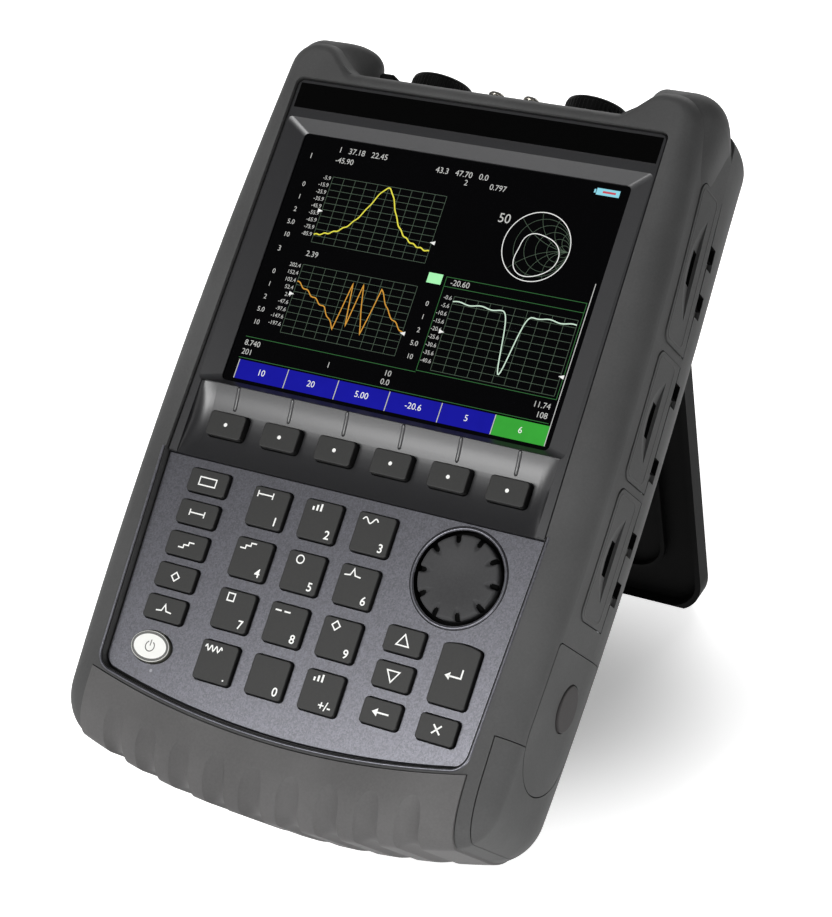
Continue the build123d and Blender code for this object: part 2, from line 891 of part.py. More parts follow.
# Screen bezel: sloped surround, name strip seat and the hollowed shelf of the soft keys
window_centre_y = (window_top_y + window_low_y) / 2
window_height = window_top_y - window_low_y
slope_centre_y = (slope_top_y + slope_low_y) / 2
strip_centre_y = (strip_top_y + strip_low_y) / 2
strip_height = strip_top_y - strip_low_y
glass_width = window_width + 2 * glass_lap
glass_height = window_height + 2 * glass_lap


def window_outline(height, width, length, centre_y, corner):
    """Rounded outline round the screen at one height."""
    with BuildSketch(face.offset(height)) as outline:
        with Locations((0, centre_y)):
            RectangleRounded(width, length, corner)
    return outline.sketch


window_top = glass_thickness + window_lip
with BuildPart() as screen_bezel:
    extrude(panel_outline(seat_plane, 0), amount=bezel_height + panel_seat)
    split(bisect_by=Plane(origin=face.from_local_coords((0, bezel_low_y, 0)), z_dir=up), keep=Keep.TOP)
    chamfer(screen_bezel.faces().sort_by(face_axis)[-1].edges(), panel_edge)
    pocket = window_outline(-panel_seat, glass_width, glass_height, window_centre_y, window_corner)
    extrude(pocket, amount=panel_seat + glass_thickness, mode=Mode.SUBTRACT)
    window = window_outline(0, window_width, window_height, window_centre_y, window_corner)
    extrude(window, amount=overrun, mode=Mode.SUBTRACT)
    slope_low = window_outline(window_top, window_width, window_height, window_centre_y, window_corner)
    slope_size = 2 * slope_half_width, slope_top_y - slope_low_y, slope_centre_y
    slope_high = window_outline(bezel_height, *slope_size, window_corner)
    loft([slope_low, slope_high], mode=Mode.SUBTRACT)
    with BuildSketch(profile_plane):
        with BuildLine():
            middle = (shelf_top_y + bezel_low_y) / 2
            ThreePointArc(
                (shelf_top_y, shelf_rim_height),
                (middle, shelf_rim_height - shelf_depth),
                (bezel_low_y, shelf_rim_height),
            )
            Polyline(
                (bezel_low_y, shelf_rim_height),
                (bezel_low_y, overrun),
                (shelf_top_y, overrun),
                (shelf_top_y, shelf_rim_height),
            )
        make_face()
    extrude(amount=shelf_width / 2, both=True, mode=Mode.SUBTRACT)
    extrude(key_outlines(seat_plane, softkeys, key_gap), amount=overrun, mode=Mode.SUBTRACT)
    with BuildSketch(face.offset(bezel_height)):
        with Locations((0, strip_centre_y)):
            Rectangle(strip_width, strip_height)
    extrude(amount=-strip_thickness, mode=Mode.SUBTRACT)
save(screen_bezel, "screen_bezel")

with BuildPart() as name_strip:
    with BuildSketch(face.offset(bezel_height - strip_thickness)):
        with Locations((0, strip_centre_y)):
            Rectangle(strip_width, strip_height)
    extrude(amount=strip_thickness + strip_proud)
save(name_strip, "name_strip")

with BuildPart() as display_glass:
    glass = window_outline(0, glass_width, glass_height, window_centre_y, window_corner)
    extrude(glass, amount=glass_thickness)
save(display_glass, "display_glass")

with BuildPart() as display_panel:
    glass = window_outline(0, glass_width, glass_height, window_centre_y, window_corner)
    extrude(glass, amount=-display_thickness)
save(display_panel, "display_panel")

# Knob, its encoder and the board under the keys
knob_base = plate_height - knob_dish_depth + knob_gap
bore_top = knob_base + knob_bore_depth
knob_middle = face.from_local_coords((knob_x, knob_y, knob_top))
notch_lift = knob_notch_radius / cos(radians(knob_notch_tilt))
with BuildPart() as control_knob:
    with BuildSketch(face.offset(knob_base)):
        with Locations((knob_x, knob_y)):
            Circle(knob_radius)
    extrude(amount=knob_top - knob_base)
    fillet(control_knob.faces().sort_by(face_axis)[-1].edges(), knob_edge)
    with Locations(face.location):
        with Locations((knob_x, knob_y, knob_top - knob_scoop_depth + knob_scoop_radius)):
            Sphere(knob_scoop_radius, mode=Mode.SUBTRACT)
    for notch in range(knob_notch_count):
        turn = radians(360 * notch / knob_notch_count)
        radial = Vector(1, 0, 0) * cos(turn) + up * sin(turn)
        start = knob_middle + radial * (knob_radius - knob_notch_length) + out * notch_lift
        along = radial * cos(radians(knob_notch_tilt)) - out * sin(radians(knob_notch_tilt))
        with BuildSketch(Plane(origin=start, z_dir=along)):
            Circle(knob_notch_radius)
        extrude(amount=2 * knob_notch_length, mode=Mode.SUBTRACT)
    with BuildSketch(face.offset(knob_base)):
        with Locations((knob_x, knob_y)):
            Circle(shaft_radius + running_clearance)
    extrude(amount=knob_bore_depth, mode=Mode.SUBTRACT)
save(control_knob, "control_knob")

shaft_low = -panel_seat - key_flange
with BuildPart() as encoder_shaft:
    with BuildSketch(face.offset(shaft_low)):
        with Locations((knob_x, knob_y)):
            Circle(shaft_radius)
    extrude(amount=bore_top - shaft_low)
save(encoder_shaft, "encoder_shaft")

with BuildPart() as encoder:
    with BuildSketch(face.offset(board_top)):
        with Locations((knob_x, knob_y)):
            Rectangle(encoder_width, encoder_width)
    extrude(amount=-panel_seat - board_top)
    with BuildSketch(face.offset(board_top)):
        with Locations((knob_x, knob_y)):
            Circle(bushing_radius)
    extrude(amount=knob_base - knob_gap - board_top)
    with BuildSketch(face.offset(shaft_low)):
        with Locations((knob_x, knob_y)):
            Circle(shaft_radius + running_clearance)
    extrude(amount=overrun, mode=Mode.SUBTRACT)
save(encoder, "encoder")

dome_places = [(key[1], key[2]) for key in softkeys + plate_keys] + [(enter_x, enter_y), (power_x, power_y)]
with BuildPart() as keypad_board:
    with BuildSketch(face.offset(board_top)):
        with Locations((0, (keypad_board_low_y + keypad_board_top_y) / 2)):
            Rectangle(board_width, keypad_board_top_y - keypad_board_low_y)
    extrude(amount=-board_thickness)
    with BuildSketch(face.offset(board_top)):
        with Locations(*dome_places):
            Circle(dome_radius)
    extrude(amount=dome_height)
save(keypad_board, "keypad_board")

# Main board, radio module and battery
main_top = -display_thickness - shield_gap
module_front = main_top - board_thickness
with BuildPart() as main_board:
    with BuildSketch(face.offset(main_top)):
        with Locations((0, (main_board_low_y + main_board_top_y) / 2)):
            Rectangle(board_width, main_board_top_y - main_board_low_y)
    extrude(amount=-board_thickness)
    with BuildSketch(face.offset(main_top)):
        with Locations((shield_x, shield_y), (-shield_x, -shield_y)):
            Rectangle(shield_width, shield_length)
    extrude(amount=shield_gap)
save(main_board, "main_board")

with BuildPart() as rf_module:
    with BuildSketch(face.offset(-module_back_depth)):
        with Locations((0, (module_low_y + module_top_y) / 2)):
            Rectangle(module_width, module_top_y - module_low_y)
    extrude(amount=module_back_depth + module_front)
save(rf_module, "rf_module")

with BuildPart() as battery_pack:
    with BuildSketch(face.offset(-module_back_depth)) as outline:
        with Locations(((battery_left_x + battery_right_x) / 2, (battery_low_y + battery_top_y) / 2)):
            RectangleRounded(battery_right_x - battery_left_x, battery_top_y - battery_low_y, panel_corner)
    extrude(amount=battery_thickness)
save(battery_pack, "battery_pack")

# Ports, caps and jacks on the top
port_places = [(-port_x, port_depth), (port_x, port_depth)]
jack_places = [(-jack_x, jack_depth), (jack_x, jack_depth)]
with BuildPart() as rf_ports:
    with BuildSketch(top_plane.offset(module_top_y - top_y)):
        with Locations(*port_places):
            Circle(port_radius)
    extrude(amount=port_top_y - module_top_y)
save(rf_ports, "rf_ports")

for cap_name, place in zip(("dust_cap_left", "dust_cap_right"), port_places):
    with BuildPart() as dust_cap:
        with BuildSketch(top_plane):
            with Locations(place):
                Circle(cap_radius)
        extrude(amount=cap_top_y - top_y)
        fillet(dust_cap.faces().sort_by(up_axis)[-1].edges(), cap_edge)
        with BuildSketch(top_plane):
            with Locations(place):
                Circle(port_radius + cap_clearance)
        extrude(amount=port_top_y - top_y, mode=Mode.SUBTRACT)
    save(dust_cap, cap_name)

with BuildPart() as sma_jacks:
    with BuildSketch(top_plane):
        with Locations(*jack_places):
            RegularPolygon(jack_base_radius, 6)
    extrude(amount=jack_base_height)
    with BuildSketch(top_plane.offset(jack_base_height)):
        with Locations(*jack_places):
            Circle(jack_thread_radius)
    extrude(amount=jack_thread_length)
    with BuildSketch(top_plane.offset(jack_base_height + jack_thread_length)):
        with Locations(*jack_places):
            Circle(jack_bore_radius)
    extrude(amount=-jack_bore_depth, mode=Mode.SUBTRACT)
save(sma_jacks, "sma_jacks")

with BuildPart() as top_plug:
    with BuildSketch(top_plane):
        with Locations((plug_x, plug_depth)):
            RectangleRounded(plug_width, plug_length, plug_edge)
    extrude(amount=plug_height)
    fillet(top_plug.faces().sort_by(up_axis)[-1].edges(), plug_edge)
    with BuildSketch(top_plane):
        with Locations((plug_x, plug_depth)):
            Rectangle(plug_stem_width, plug_stem_width)
    extrude(amount=-case_wall)
save(top_plug, "top_plug")

# Stand: a ribbed tray on two pins, its foot trimmed by the surface it stands on
pivot_height = -back_depth + stand_pivot_inset
pivot = face.from_local_coords((0, stand_pivot_y, pivot_height))
stand_along = -up * cos(radians(stand_open)) - out * sin(radians(stand_open))
stand_reach = pivot.Z / cos(radians(stand_open - lean))
stand_length = stand_reach + stand_foot_trim
stand_plane = Plane(origin=pivot, x_dir=(1, 0, 0), z_dir=Vector(1, 0, 0).cross(stand_along))
pin_plane = Plane(origin=pivot, x_dir=up, z_dir=(1, 0, 0))
barrel_radius = stand_thickness / 2


def stand_outline(plane, inset, start, corner):
    """Outline of the tray drawn in from its sides and foot, square at the hinge end."""
    half = stand_width / 2 - inset
    end = stand_length - inset
    with BuildSketch(plane) as outline:
        with BuildLine():
            Polyline((-half, start), (half, start), (half, end), (-half, end), close=True)
        make_face()
        fillet(outline.vertices().group_by(Axis.Y)[-1], corner)
    return outline.sketch


tray_back = stand_plane.offset(barrel_radius)
tray_front = stand_plane.offset(-barrel_radius)
tray_floor = stand_plane.offset(barrel_radius - stand_floor)
tray_start = barrel_radius + stand_wall


def stand_loop(inset):
    """Rib that runs down one side of the tray, round by the foot and up the other side."""
    inner_corner = stand_loop_corner - stand_rib_width
    inner = stand_outline(tray_floor, inset + stand_rib_width, tray_start, inner_corner)
    with BuildPart() as loop:
        extrude(stand_outline(tray_floor, inset, tray_start, stand_loop_corner), amount=-stand_rib_height)
        extrude(inner, amount=-stand_rib_height, mode=Mode.SUBTRACT)
    return loop.part


with BuildPart() as kickstand:
    extrude(stand_outline(tray_back, 0, 0, stand_foot_corner), amount=-stand_thickness)
    with BuildSketch(pin_plane):
        Circle(barrel_radius)
    extrude(amount=stand_width / 2, both=True)
    hollow = stand_outline(tray_front, stand_wall, tray_start, stand_foot_corner - stand_wall)
    extrude(hollow, amount=stand_thickness - stand_floor, mode=Mode.SUBTRACT)
    for inset in stand_loop_insets:
        add(stand_loop(inset))
    with BuildSketch(pin_plane):
        Circle(stand_pin_radius + running_clearance)
    extrude(amount=stand_width, both=True, mode=Mode.SUBTRACT)
    split(bisect_by=Plane.XY, keep=Keep.TOP)
save(kickstand, "kickstand")

pin_inner = stand_width / 2 - stand_pin_hold
pin_length = 2 * stand_pin_hold + stand_gap
with BuildPart() as stand_pins:
    for side in (-1, 1):
        with BuildSketch(pin_plane.offset(side * pin_inner)):
            Circle(stand_pin_radius)
        extrude(amount=side * pin_length)
save(stand_pins, "stand_pins")

# Inside of the front case, left solid behind the doors where the sockets stand
end_wall = case_wall + grip_thickness + seam_gap
cavity_front = -panel_seat - ledge_thickness
top_wall = case_wall + back_top_round / 2
cavity_top = Plane(origin=face.from_local_coords((0, top_y - top_wall, 0)), z_dir=up)
with BuildPart() as front_cavity:
    inside = case_section(-seam_depth, case_wall, end_wall, case_wall, 0)
    extrude(inside, amount=seam_depth + cavity_front)
    split(bisect_by=cavity_top, keep=Keep.BOTTOM)
    for plane, length in zip(door_planes, door_lengths):
        backing = socket_depth + case_wall
        with BuildSketch(plane.offset(socket_top - backing)):
            with Locations((0, door_width / 2)):
                Rectangle(length + 2 * case_wall, door_width + 2 * case_wall + 2 * hinge_radius)
        extrude(amount=backing + overrun, mode=Mode.SUBTRACT)
    with BuildSketch(face.offset(-seam_depth)):
        with Locations(*screw_places):
            Circle(screw_boss_radius)
    extrude(amount=seam_depth + cavity_front, mode=Mode.SUBTRACT)

with BuildPart() as front_case:
    add(outer_front.part)
    add(front_cavity.part, mode=Mode.SUBTRACT)
    extrude(panel_outline(seat_plane, -panel_gap), amount=overrun, mode=Mode.SUBTRACT)
    extrude(panel_outline(seat_plane, panel_ledge), amount=-2 * ledge_thickness, mode=Mode.SUBTRACT)
    for plane, length in zip(door_planes, door_lengths):
        recess = door_blank(plane, length, door_gap, -hinge_radius - door_gap, overrun)
        add(recess, mode=Mode.SUBTRACT)
        pin_hole = hinge_rod(plane, length + 2 * door_pin_overhang, door_pin_radius + running_clearance)
        add(pin_hole, mode=Mode.SUBTRACT)
    add(socket_holes.part, mode=Mode.SUBTRACT)
    add(corner_block(seam_gap), mode=Mode.SUBTRACT)
    add(tongue_block(seam_gap), mode=Mode.SUBTRACT)
    add(latch_space.part, mode=Mode.SUBTRACT)
    add(grip_space.part, mode=Mode.SUBTRACT)
    with BuildSketch(top_plane):
        with Locations(*port_places):
            Circle(port_radius + running_clearance)
        with Locations((plug_x, plug_depth)):
            Rectangle(plug_stem_width, plug_stem_width)
    extrude(amount=-2 * top_wall, mode=Mode.SUBTRACT)
    with BuildSketch(face.offset(-seam_depth)):
        with Locations(*screw_places):
            Circle(screw_radius + running_clearance)
    extrude(amount=screw_length - screw_head_depth + seam_depth, mode=Mode.SUBTRACT)
save(front_case, "front_case")

# Rear case: thick back with the well that the stand folds into
cavity_back = -back_depth + back_wall
rear_turn = asin((-cavity_back - seam_depth) / rear_thickness)
rear_in_share = 1 - cos(rear_turn)
well_floor = pivot_height + barrel_radius + stand_gap
with BuildPart() as rear_cavity:
    inside = case_section(
        -seam_depth,
        case_wall + back_side_round * rear_in_share,
        end_wall + back_end_round * rear_in_share,
        case_wall + back_top_round * rear_in_share,
        0,
    )
    extrude(inside, amount=seam_depth + cavity_back)
    split(bisect_by=cavity_top, keep=Keep.BOTTOM)

with BuildPart() as rear_case:
    add(outer_rear)
    add(rear_cavity.part, mode=Mode.SUBTRACT)
    with BuildSketch(face.offset(cavity_back)):
        with Locations(*screw_places):
            Circle(screw_boss_radius)
        for rib_y in rib_ys:
            with Locations((0, rib_y)):
                Rectangle(rib_width, rib_thickness)
    extrude(amount=-module_back_depth - cavity_back)
    with BuildSketch(face.offset(cavity_back)):
        with Locations(*screw_places):
            Circle(screw_boss_radius)
    extrude(amount=-seam_depth - cavity_back)
    with BuildSketch(face.offset(well_floor)):
        with BuildLine():
            half = stand_width / 2 + stand_gap
            high = stand_pivot_y + barrel_radius + stand_gap
            low = stand_pivot_y - stand_length - stand_gap
            Polyline((-half, low), (half, low), (half, high), (-half, high), close=True)
        make_face()
    extrude(amount=-overrun, mode=Mode.SUBTRACT)
    with BuildSketch(pin_plane):
        Circle(stand_pin_radius + running_clearance)
    extrude(amount=pin_inner + pin_length, both=True, mode=Mode.SUBTRACT)
    with BuildSketch(face.offset(-screw_head_depth)):
        with Locations(*screw_places):
            Circle(screw_sink_radius)
    extrude(amount=-overrun, mode=Mode.SUBTRACT)
    with BuildSketch(face.offset(-screw_head_depth)):
        with Locations(*screw_places):
            Circle(screw_radius + running_clearance)
    extrude(amount=overrun, mode=Mode.SUBTRACT)
    window_low = -hinge_radius - door_gap - door_window_width / 2
    for plane, apart in zip(door_planes, door_window_places):
        with BuildSketch(plane.offset(-door_step_depth)):
            with Locations((-apart, window_low), (apart, window_low)):
                Rectangle(door_window_length, door_window_width)
        extrude(amount=overrun, mode=Mode.SUBTRACT)
        deep_length = door_window_length - door_step_length
        with BuildSketch(plane.offset(-door_window_depth)):
            deep_y = (door_window_length - deep_length) / 2
            with Locations((deep_y - apart, window_low), (deep_y + apart, window_low)):
                Rectangle(deep_length, door_window_width)
        extrude(amount=overrun, mode=Mode.SUBTRACT)
    add(corner_block(seam_gap), mode=Mode.SUBTRACT)
    add(tongue_block(seam_gap), mode=Mode.SUBTRACT)
    add(latch_space.part, mode=Mode.SUBTRACT)
    add(grip_space.part, mode=Mode.SUBTRACT)
save(rear_case, "rear_case")
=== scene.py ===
# %% [markdown]
# # A handheld microwave analyzer on its stand
# The real thing is a field instrument in a rubber-faced case. It leans back on a fold-out stand, with a
# screen, a block of rubber keys and a knob on its face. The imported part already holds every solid, so this
# file adds what a solid can't show: finishes, printed signs, a lit screen and a small studio.

# %% Load the part
import json
import math

import bpy
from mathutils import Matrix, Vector

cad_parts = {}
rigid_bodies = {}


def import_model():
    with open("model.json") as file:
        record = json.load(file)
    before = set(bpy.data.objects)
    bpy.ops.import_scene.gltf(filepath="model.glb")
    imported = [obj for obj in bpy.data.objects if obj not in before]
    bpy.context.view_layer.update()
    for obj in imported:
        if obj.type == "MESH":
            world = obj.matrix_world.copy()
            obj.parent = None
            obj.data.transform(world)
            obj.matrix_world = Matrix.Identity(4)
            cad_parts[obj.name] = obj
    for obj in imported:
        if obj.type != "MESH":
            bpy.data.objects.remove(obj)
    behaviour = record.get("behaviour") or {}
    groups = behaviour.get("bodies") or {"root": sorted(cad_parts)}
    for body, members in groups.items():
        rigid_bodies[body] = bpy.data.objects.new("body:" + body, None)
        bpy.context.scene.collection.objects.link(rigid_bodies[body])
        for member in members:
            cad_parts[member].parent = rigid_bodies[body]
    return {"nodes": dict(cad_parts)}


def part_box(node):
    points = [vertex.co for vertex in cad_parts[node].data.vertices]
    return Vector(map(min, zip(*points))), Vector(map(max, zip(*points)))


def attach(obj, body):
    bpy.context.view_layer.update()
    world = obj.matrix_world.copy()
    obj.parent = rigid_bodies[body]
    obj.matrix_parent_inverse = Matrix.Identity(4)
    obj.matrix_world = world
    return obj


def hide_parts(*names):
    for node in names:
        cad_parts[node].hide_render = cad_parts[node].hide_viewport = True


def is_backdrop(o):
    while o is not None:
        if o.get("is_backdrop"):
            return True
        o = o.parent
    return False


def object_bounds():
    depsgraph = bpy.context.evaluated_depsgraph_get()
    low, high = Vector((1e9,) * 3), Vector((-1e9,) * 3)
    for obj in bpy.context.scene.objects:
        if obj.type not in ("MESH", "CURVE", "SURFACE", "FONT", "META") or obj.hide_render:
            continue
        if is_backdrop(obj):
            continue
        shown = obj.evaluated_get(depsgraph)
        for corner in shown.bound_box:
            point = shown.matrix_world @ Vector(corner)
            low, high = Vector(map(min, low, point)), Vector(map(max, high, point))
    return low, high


for leftover in list(bpy.data.objects):
    bpy.data.objects.remove(leftover)
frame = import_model()
nodes = frame["nodes"]
cad_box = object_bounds()
print("solids loaded:", len(nodes))

# %% [markdown]
# ## Working on a leaning face
# The face of the case leans back 40 degrees, which makes world coordinates awkward to write. A small
# function takes a place as it would be measured on the face (x to the right, y up along the case, height
# out of the face, all in millimetres from the middle of the screen) and returns the place in the scene.
# The middle of the window glass tells where the face is, so nothing is measured twice.

# %% Places on the face
LEAN = math.radians(40)
ACROSS = Vector((1, 0, 0))
UP = Vector((0, math.sin(LEAN), math.cos(LEAN)))
OUT = Vector((0, -math.cos(LEAN), math.sin(LEAN)))
GLASS_TOP = 1.2
GLASS_MIDDLE_Y = -0.75
glass_low, glass_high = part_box("display_glass")
FACE = (glass_low + glass_high) / 2 * 1000 - UP * GLASS_MIDDLE_Y - OUT * GLASS_TOP / 2


def on_face(x, y, height):
    return (FACE + ACROSS * x + UP * y + OUT * height) / 1000


def raised(level):
    def place(x, y, height):
        return on_face(x, y, level + height)

    return place


print("middle of the screen, in metres:", [round(value, 4) for value in on_face(0, 0, 0)])

# %% [markdown]
# ## Making materials from nodes
# Every finish here is a small node tree. One helper adds a node, sets its values and joins its inputs. Four
# more build on it for what nearly every finish needs: a noise of a real size, a ramp between two colours, a
# bump and the shader itself. Colours are written as the hex values that a paint programme shows, and are
# turned to the linear light that the renderer works in.

# %% Helpers for materials
FINE_BUMP, COARSE_BUMP = 0.00005, 0.00008


def hex_colour(code):
    parts = [int(code[i : i + 2], 16) / 255 for i in (1, 3, 5)]
    return [c / 12.92 if c <= 0.04045 else ((c + 0.055) / 1.055) ** 2.4 for c in parts] + [1.0]


def add_node(material, kind, values=None, links=None):
    node = material.node_tree.nodes.new(kind)
    for name, value in (values or {}).items():
        if isinstance(name, str) and hasattr(node, name):
            setattr(node, name, value)
        else:
            node.inputs[name].default_value = value
    for name, source in (links or {}).items():
        material.node_tree.links.new(source, node.inputs[name])
    return node


def new_material(name):
    material = bpy.data.materials.new(name)
    material.use_nodes = True
    material.node_tree.nodes.clear()
    return material


def close_material(material, shader):
    add_node(material, "ShaderNodeOutputMaterial", links={"Surface": shader.outputs[0]})
    return material


def per_metre(size_mm):
    return 1000 / size_mm


def noise(material, size_mm, detail=2.0):
    place = add_node(material, "ShaderNodeTexCoord")
    values = {"Scale": per_metre(size_mm), "Detail": detail}
    cloud = add_node(material, "ShaderNodeTexNoise", values, {"Vector": place.outputs["Object"]})
    return cloud.outputs["Fac"]


def ramp(material, source, dark, light, start=0.0, end=1.0):
    blend = add_node(material, "ShaderNodeValToRGB", links={"Fac": source})
    for element, position, code in zip(blend.color_ramp.elements, (start, end), (dark, light)):
        element.position = position
        element.color = hex_colour(code)
    return blend.outputs["Color"]


def bump(material, source, strength, depth):
    values = {"Strength": strength, "Distance": depth}
    return add_node(material, "ShaderNodeBump", values, {"Height": source}).outputs["Normal"]


def surface(material, values, links):
    shader = add_node(material, "ShaderNodeBsdfPrincipled", values, links)
    return close_material(material, shader)


def dress(material, *names):
    for name in names:
        nodes[name].data.materials.clear()
        nodes[name].data.materials.append(material)


# %% [markdown]
# ## Soft-touch case rubber
# The case halves, the side doors and the battery door are covered in moulded thermoplastic rubber. Its skin
# is matte, with a fine spark-eroded grain that scatters highlights, and a faint unevenness from handling.
# The real grain is about 0.2 mm, too fine for this picture, so it is drawn at 0.9 mm. Two noises do it:
# a slow one shifts the colour a little, a fast one gives the bump.

# %% Moulded thermoplastic rubber
HANDLING_MM, RUBBER_GRAIN_MM = 38, 0.9
MATTE_SHINE = 0.06


def moulded_rubber(name, dark, light, roughness):
    rubber = new_material(name)
    cloud = noise(rubber, HANDLING_MM, 3.0)
    grain = noise(rubber, RUBBER_GRAIN_MM)
    values = {"operation": "MULTIPLY_ADD", 1: 0.35, 2: -0.17}
    speck = add_node(rubber, "ShaderNodeMath", values, {0: grain})
    blend = add_node(rubber, "ShaderNodeMath", {"operation": "ADD"}, {0: cloud, 1: speck.outputs[0]})
    colour = ramp(rubber, blend.outputs[0], dark, light, 0.3, 0.7)
    normal = bump(rubber, grain, 0.25, COARSE_BUMP)
    values = {"Roughness": roughness, "IOR": 1.5, "Specular IOR Level": MATTE_SHINE}
    return surface(rubber, values, {"Base Color": colour, "Normal": normal})


case_rubber = moulded_rubber("moulded_case_rubber", "#4a4a4a", "#545454", 0.55)
# The grip is the same rubber drawn lighter: painted light, for the brighter lower front of the case.
grip_rubber_painted_lighter = moulded_rubber("moulded_grip_rubber_painted_lighter", "#595858", "#656464", 0.55)
release_rubber = moulded_rubber("moulded_release_pad_rubber", "#3a3838", "#444242", 0.5)
dress(case_rubber, "front_case", "rear_case", "battery_door", "battery_door_panel")
dress(case_rubber, "port_door_upper", "port_door_middle", "port_door_lower")
dress(grip_rubber_painted_lighter, "bottom_grip")
dress(release_rubber, "battery_door_button")
print("rubber finishes:", case_rubber.name, grip_rubber_painted_lighter.name, release_rubber.name)

# %% [markdown]
# ## Satin ABS of the screen surround, gloss of the strip and the window
# The surround is injection-moulded ABS with a satin texture. It is smoother than the rubber, so the slope
# under the name strip and the hollow of the soft-key shelf catch broad soft highlights. The strip is gloss
# acrylic. The window is hardened glass with a black back print: against a dark screen it reads as gloss
# black, so it is made dark and shiny, and what the screen shows is laid a few hundredths of a millimetre
# above it. A slow noise in the roughness of both is the film that fingers and wiping leave.

# %% Satin ABS, gloss acrylic and window glass
MOULD_GRAIN_MM = 0.8
bezel_abs = new_material("satin_charcoal_abs")
grain = noise(bezel_abs, MOULD_GRAIN_MM)
colour = ramp(bezel_abs, grain, "#1b1b1d", "#242426")
normal = bump(bezel_abs, grain, 0.15, FINE_BUMP)
surface(bezel_abs, {"Roughness": 0.32, "IOR": 1.53}, {"Base Color": colour, "Normal": normal})
dress(bezel_abs, "screen_bezel")


def smeared_gloss(name, code, ior, shine, smear, haze):
    gloss = new_material(name)
    values = {"To Min": haze[0], "To Max": haze[1]}
    film = add_node(gloss, "ShaderNodeMapRange", values, {"Value": noise(gloss, *smear)})
    values = {"Base Color": hex_colour(code), "IOR": ior, "Specular IOR Level": shine}
    return surface(gloss, values, {"Roughness": film.outputs["Result"]})


gloss_acrylic = smeared_gloss("gloss_black_acrylic", "#020202", 1.49, 0.1, (25, 4.0), (0.06, 0.14))
window_glass = smeared_gloss("hardened_window_glass", "#030304", 1.5, 0.08, (40, 3.0), (0.05, 0.12))
dress(gloss_acrylic, "name_strip")
dress(window_glass, "display_glass")
print("front mouldings:", bezel_abs.name, gloss_acrylic.name, window_glass.name)

# %% [markdown]
# ## Metallic paint of the keypad plate
# The plate is sprayed with a blue-grey paint full of aluminium flake. The flakes lie at slightly different
# angles, so some spark and some stay dark. Real flakes are a twentieth of a millimetre; they are drawn at
# 0.5 mm so that the sparkle survives at this distance. The paint is three parts metal to one part pigment.

# %% Metallic flake paint
FLAKE_MM = 0.5
flake_paint = new_material("metallic_flake_paint")
place = add_node(flake_paint, "ShaderNodeTexCoord")
flakes = add_node(
    flake_paint, "ShaderNodeTexVoronoi", {"Scale": per_metre(FLAKE_MM)}, {"Vector": place.outputs["Object"]}
)
spark = add_node(flake_paint, "ShaderNodeRGBToBW", links={"Color": flakes.outputs["Color"]})
colour = ramp(flake_paint, spark.outputs[0], "#48484c", "#58585e", 0.15, 0.85)
normal = bump(flake_paint, spark.outputs[0], 0.12, FINE_BUMP)
surface(flake_paint, {"Metallic": 0.75, "Roughness": 0.31}, {"Base Color": colour, "Normal": normal})
dress(flake_paint, "keypad_plate")
print("plate:", flake_paint.name)

# %% [markdown]
# ## Silicone keys and the white button, with painted shade on their sides
# The keys are charcoal silicone with printed signs. Their sides are drawn nearly black, and that black is
# painted shade. The shader asks which way a surface faces: where it faces out of the case it takes the top
# colour, elsewhere the dark painted shade. The power button is made the same way, with a white top and grey
# painted shade on its sides.

# %% Silicone with painted shade on its sides
SILICONE_IOR = 1.43


# Painted shade: surfaces that don't face out of the case get the dark side colour instead of the top colour.
def coated(material, start, end, side_shade, painted):
    geometry = add_node(material, "ShaderNodeNewGeometry")
    values = {"operation": "DOT_PRODUCT", 1: OUT}
    facing = add_node(material, "ShaderNodeVectorMath", values, {0: geometry.outputs["True Normal"]})
    values = {"From Min": start, "From Max": end}
    top_share = add_node(material, "ShaderNodeMapRange", values, {"Value": facing.outputs["Value"]})
    values = {"data_type": "RGBA", 6: hex_colour(side_shade)}
    return add_node(material, "ShaderNodeMix", values, {0: top_share.outputs["Result"], 7: painted}).outputs[2]


key_silicone = new_material("painted_key_silicone")
grain = noise(key_silicone, MOULD_GRAIN_MM)
charcoal = ramp(key_silicone, grain, "#1e1e1d", "#272726")
# The near black #0b0b0b on the sides of the keys is painted shade.
colour = coated(key_silicone, 0.6, 0.95, "#0b0b0b", charcoal)
normal = bump(key_silicone, grain, 0.15, FINE_BUMP)
values = {"Roughness": 0.5, "IOR": SILICONE_IOR, "Specular IOR Level": 0.35}
surface(key_silicone, values, {"Base Color": colour, "Normal": normal})
keys = sorted(name for name in nodes if name.endswith("_key") or "key_" in name)
dress(key_silicone, *keys)

white_silicone = new_material("white_button_silicone")
chalk = ramp(white_silicone, noise(white_silicone, 4), "#e6e6e2", "#f4f4f0")
# The grey #4c4c46 on the sides of the button is painted shade.
colour = coated(white_silicone, 0.85, 0.98, "#4c4c46", chalk)
surface(white_silicone, {"Roughness": 0.45, "IOR": SILICONE_IOR}, {"Base Color": colour})
dress(white_silicone, "power_button")
print("painted keys:", len(keys))

# %% [markdown]
# ## Black mouldings and metal
# The stand, the dust caps, the plug and the knob are moulded plastic: the stand has a coarse texture, the
# knob a smooth one. Jacks, pins and screws are bright metal, with fine marks that a small noise gives.

# %% Black mouldings


def black_moulding(name, dark, light, grain_mm, roughness):
    plastic = new_material(name)
    grain = noise(plastic, grain_mm, 3.0)
    colour = ramp(plastic, grain, dark, light)
    normal = bump(plastic, grain, 0.2, COARSE_BUMP)
    values = {"Roughness": roughness, "IOR": 1.52, "Specular IOR Level": MATTE_SHINE}
    return surface(plastic, values, {"Base Color": colour, "Normal": normal})


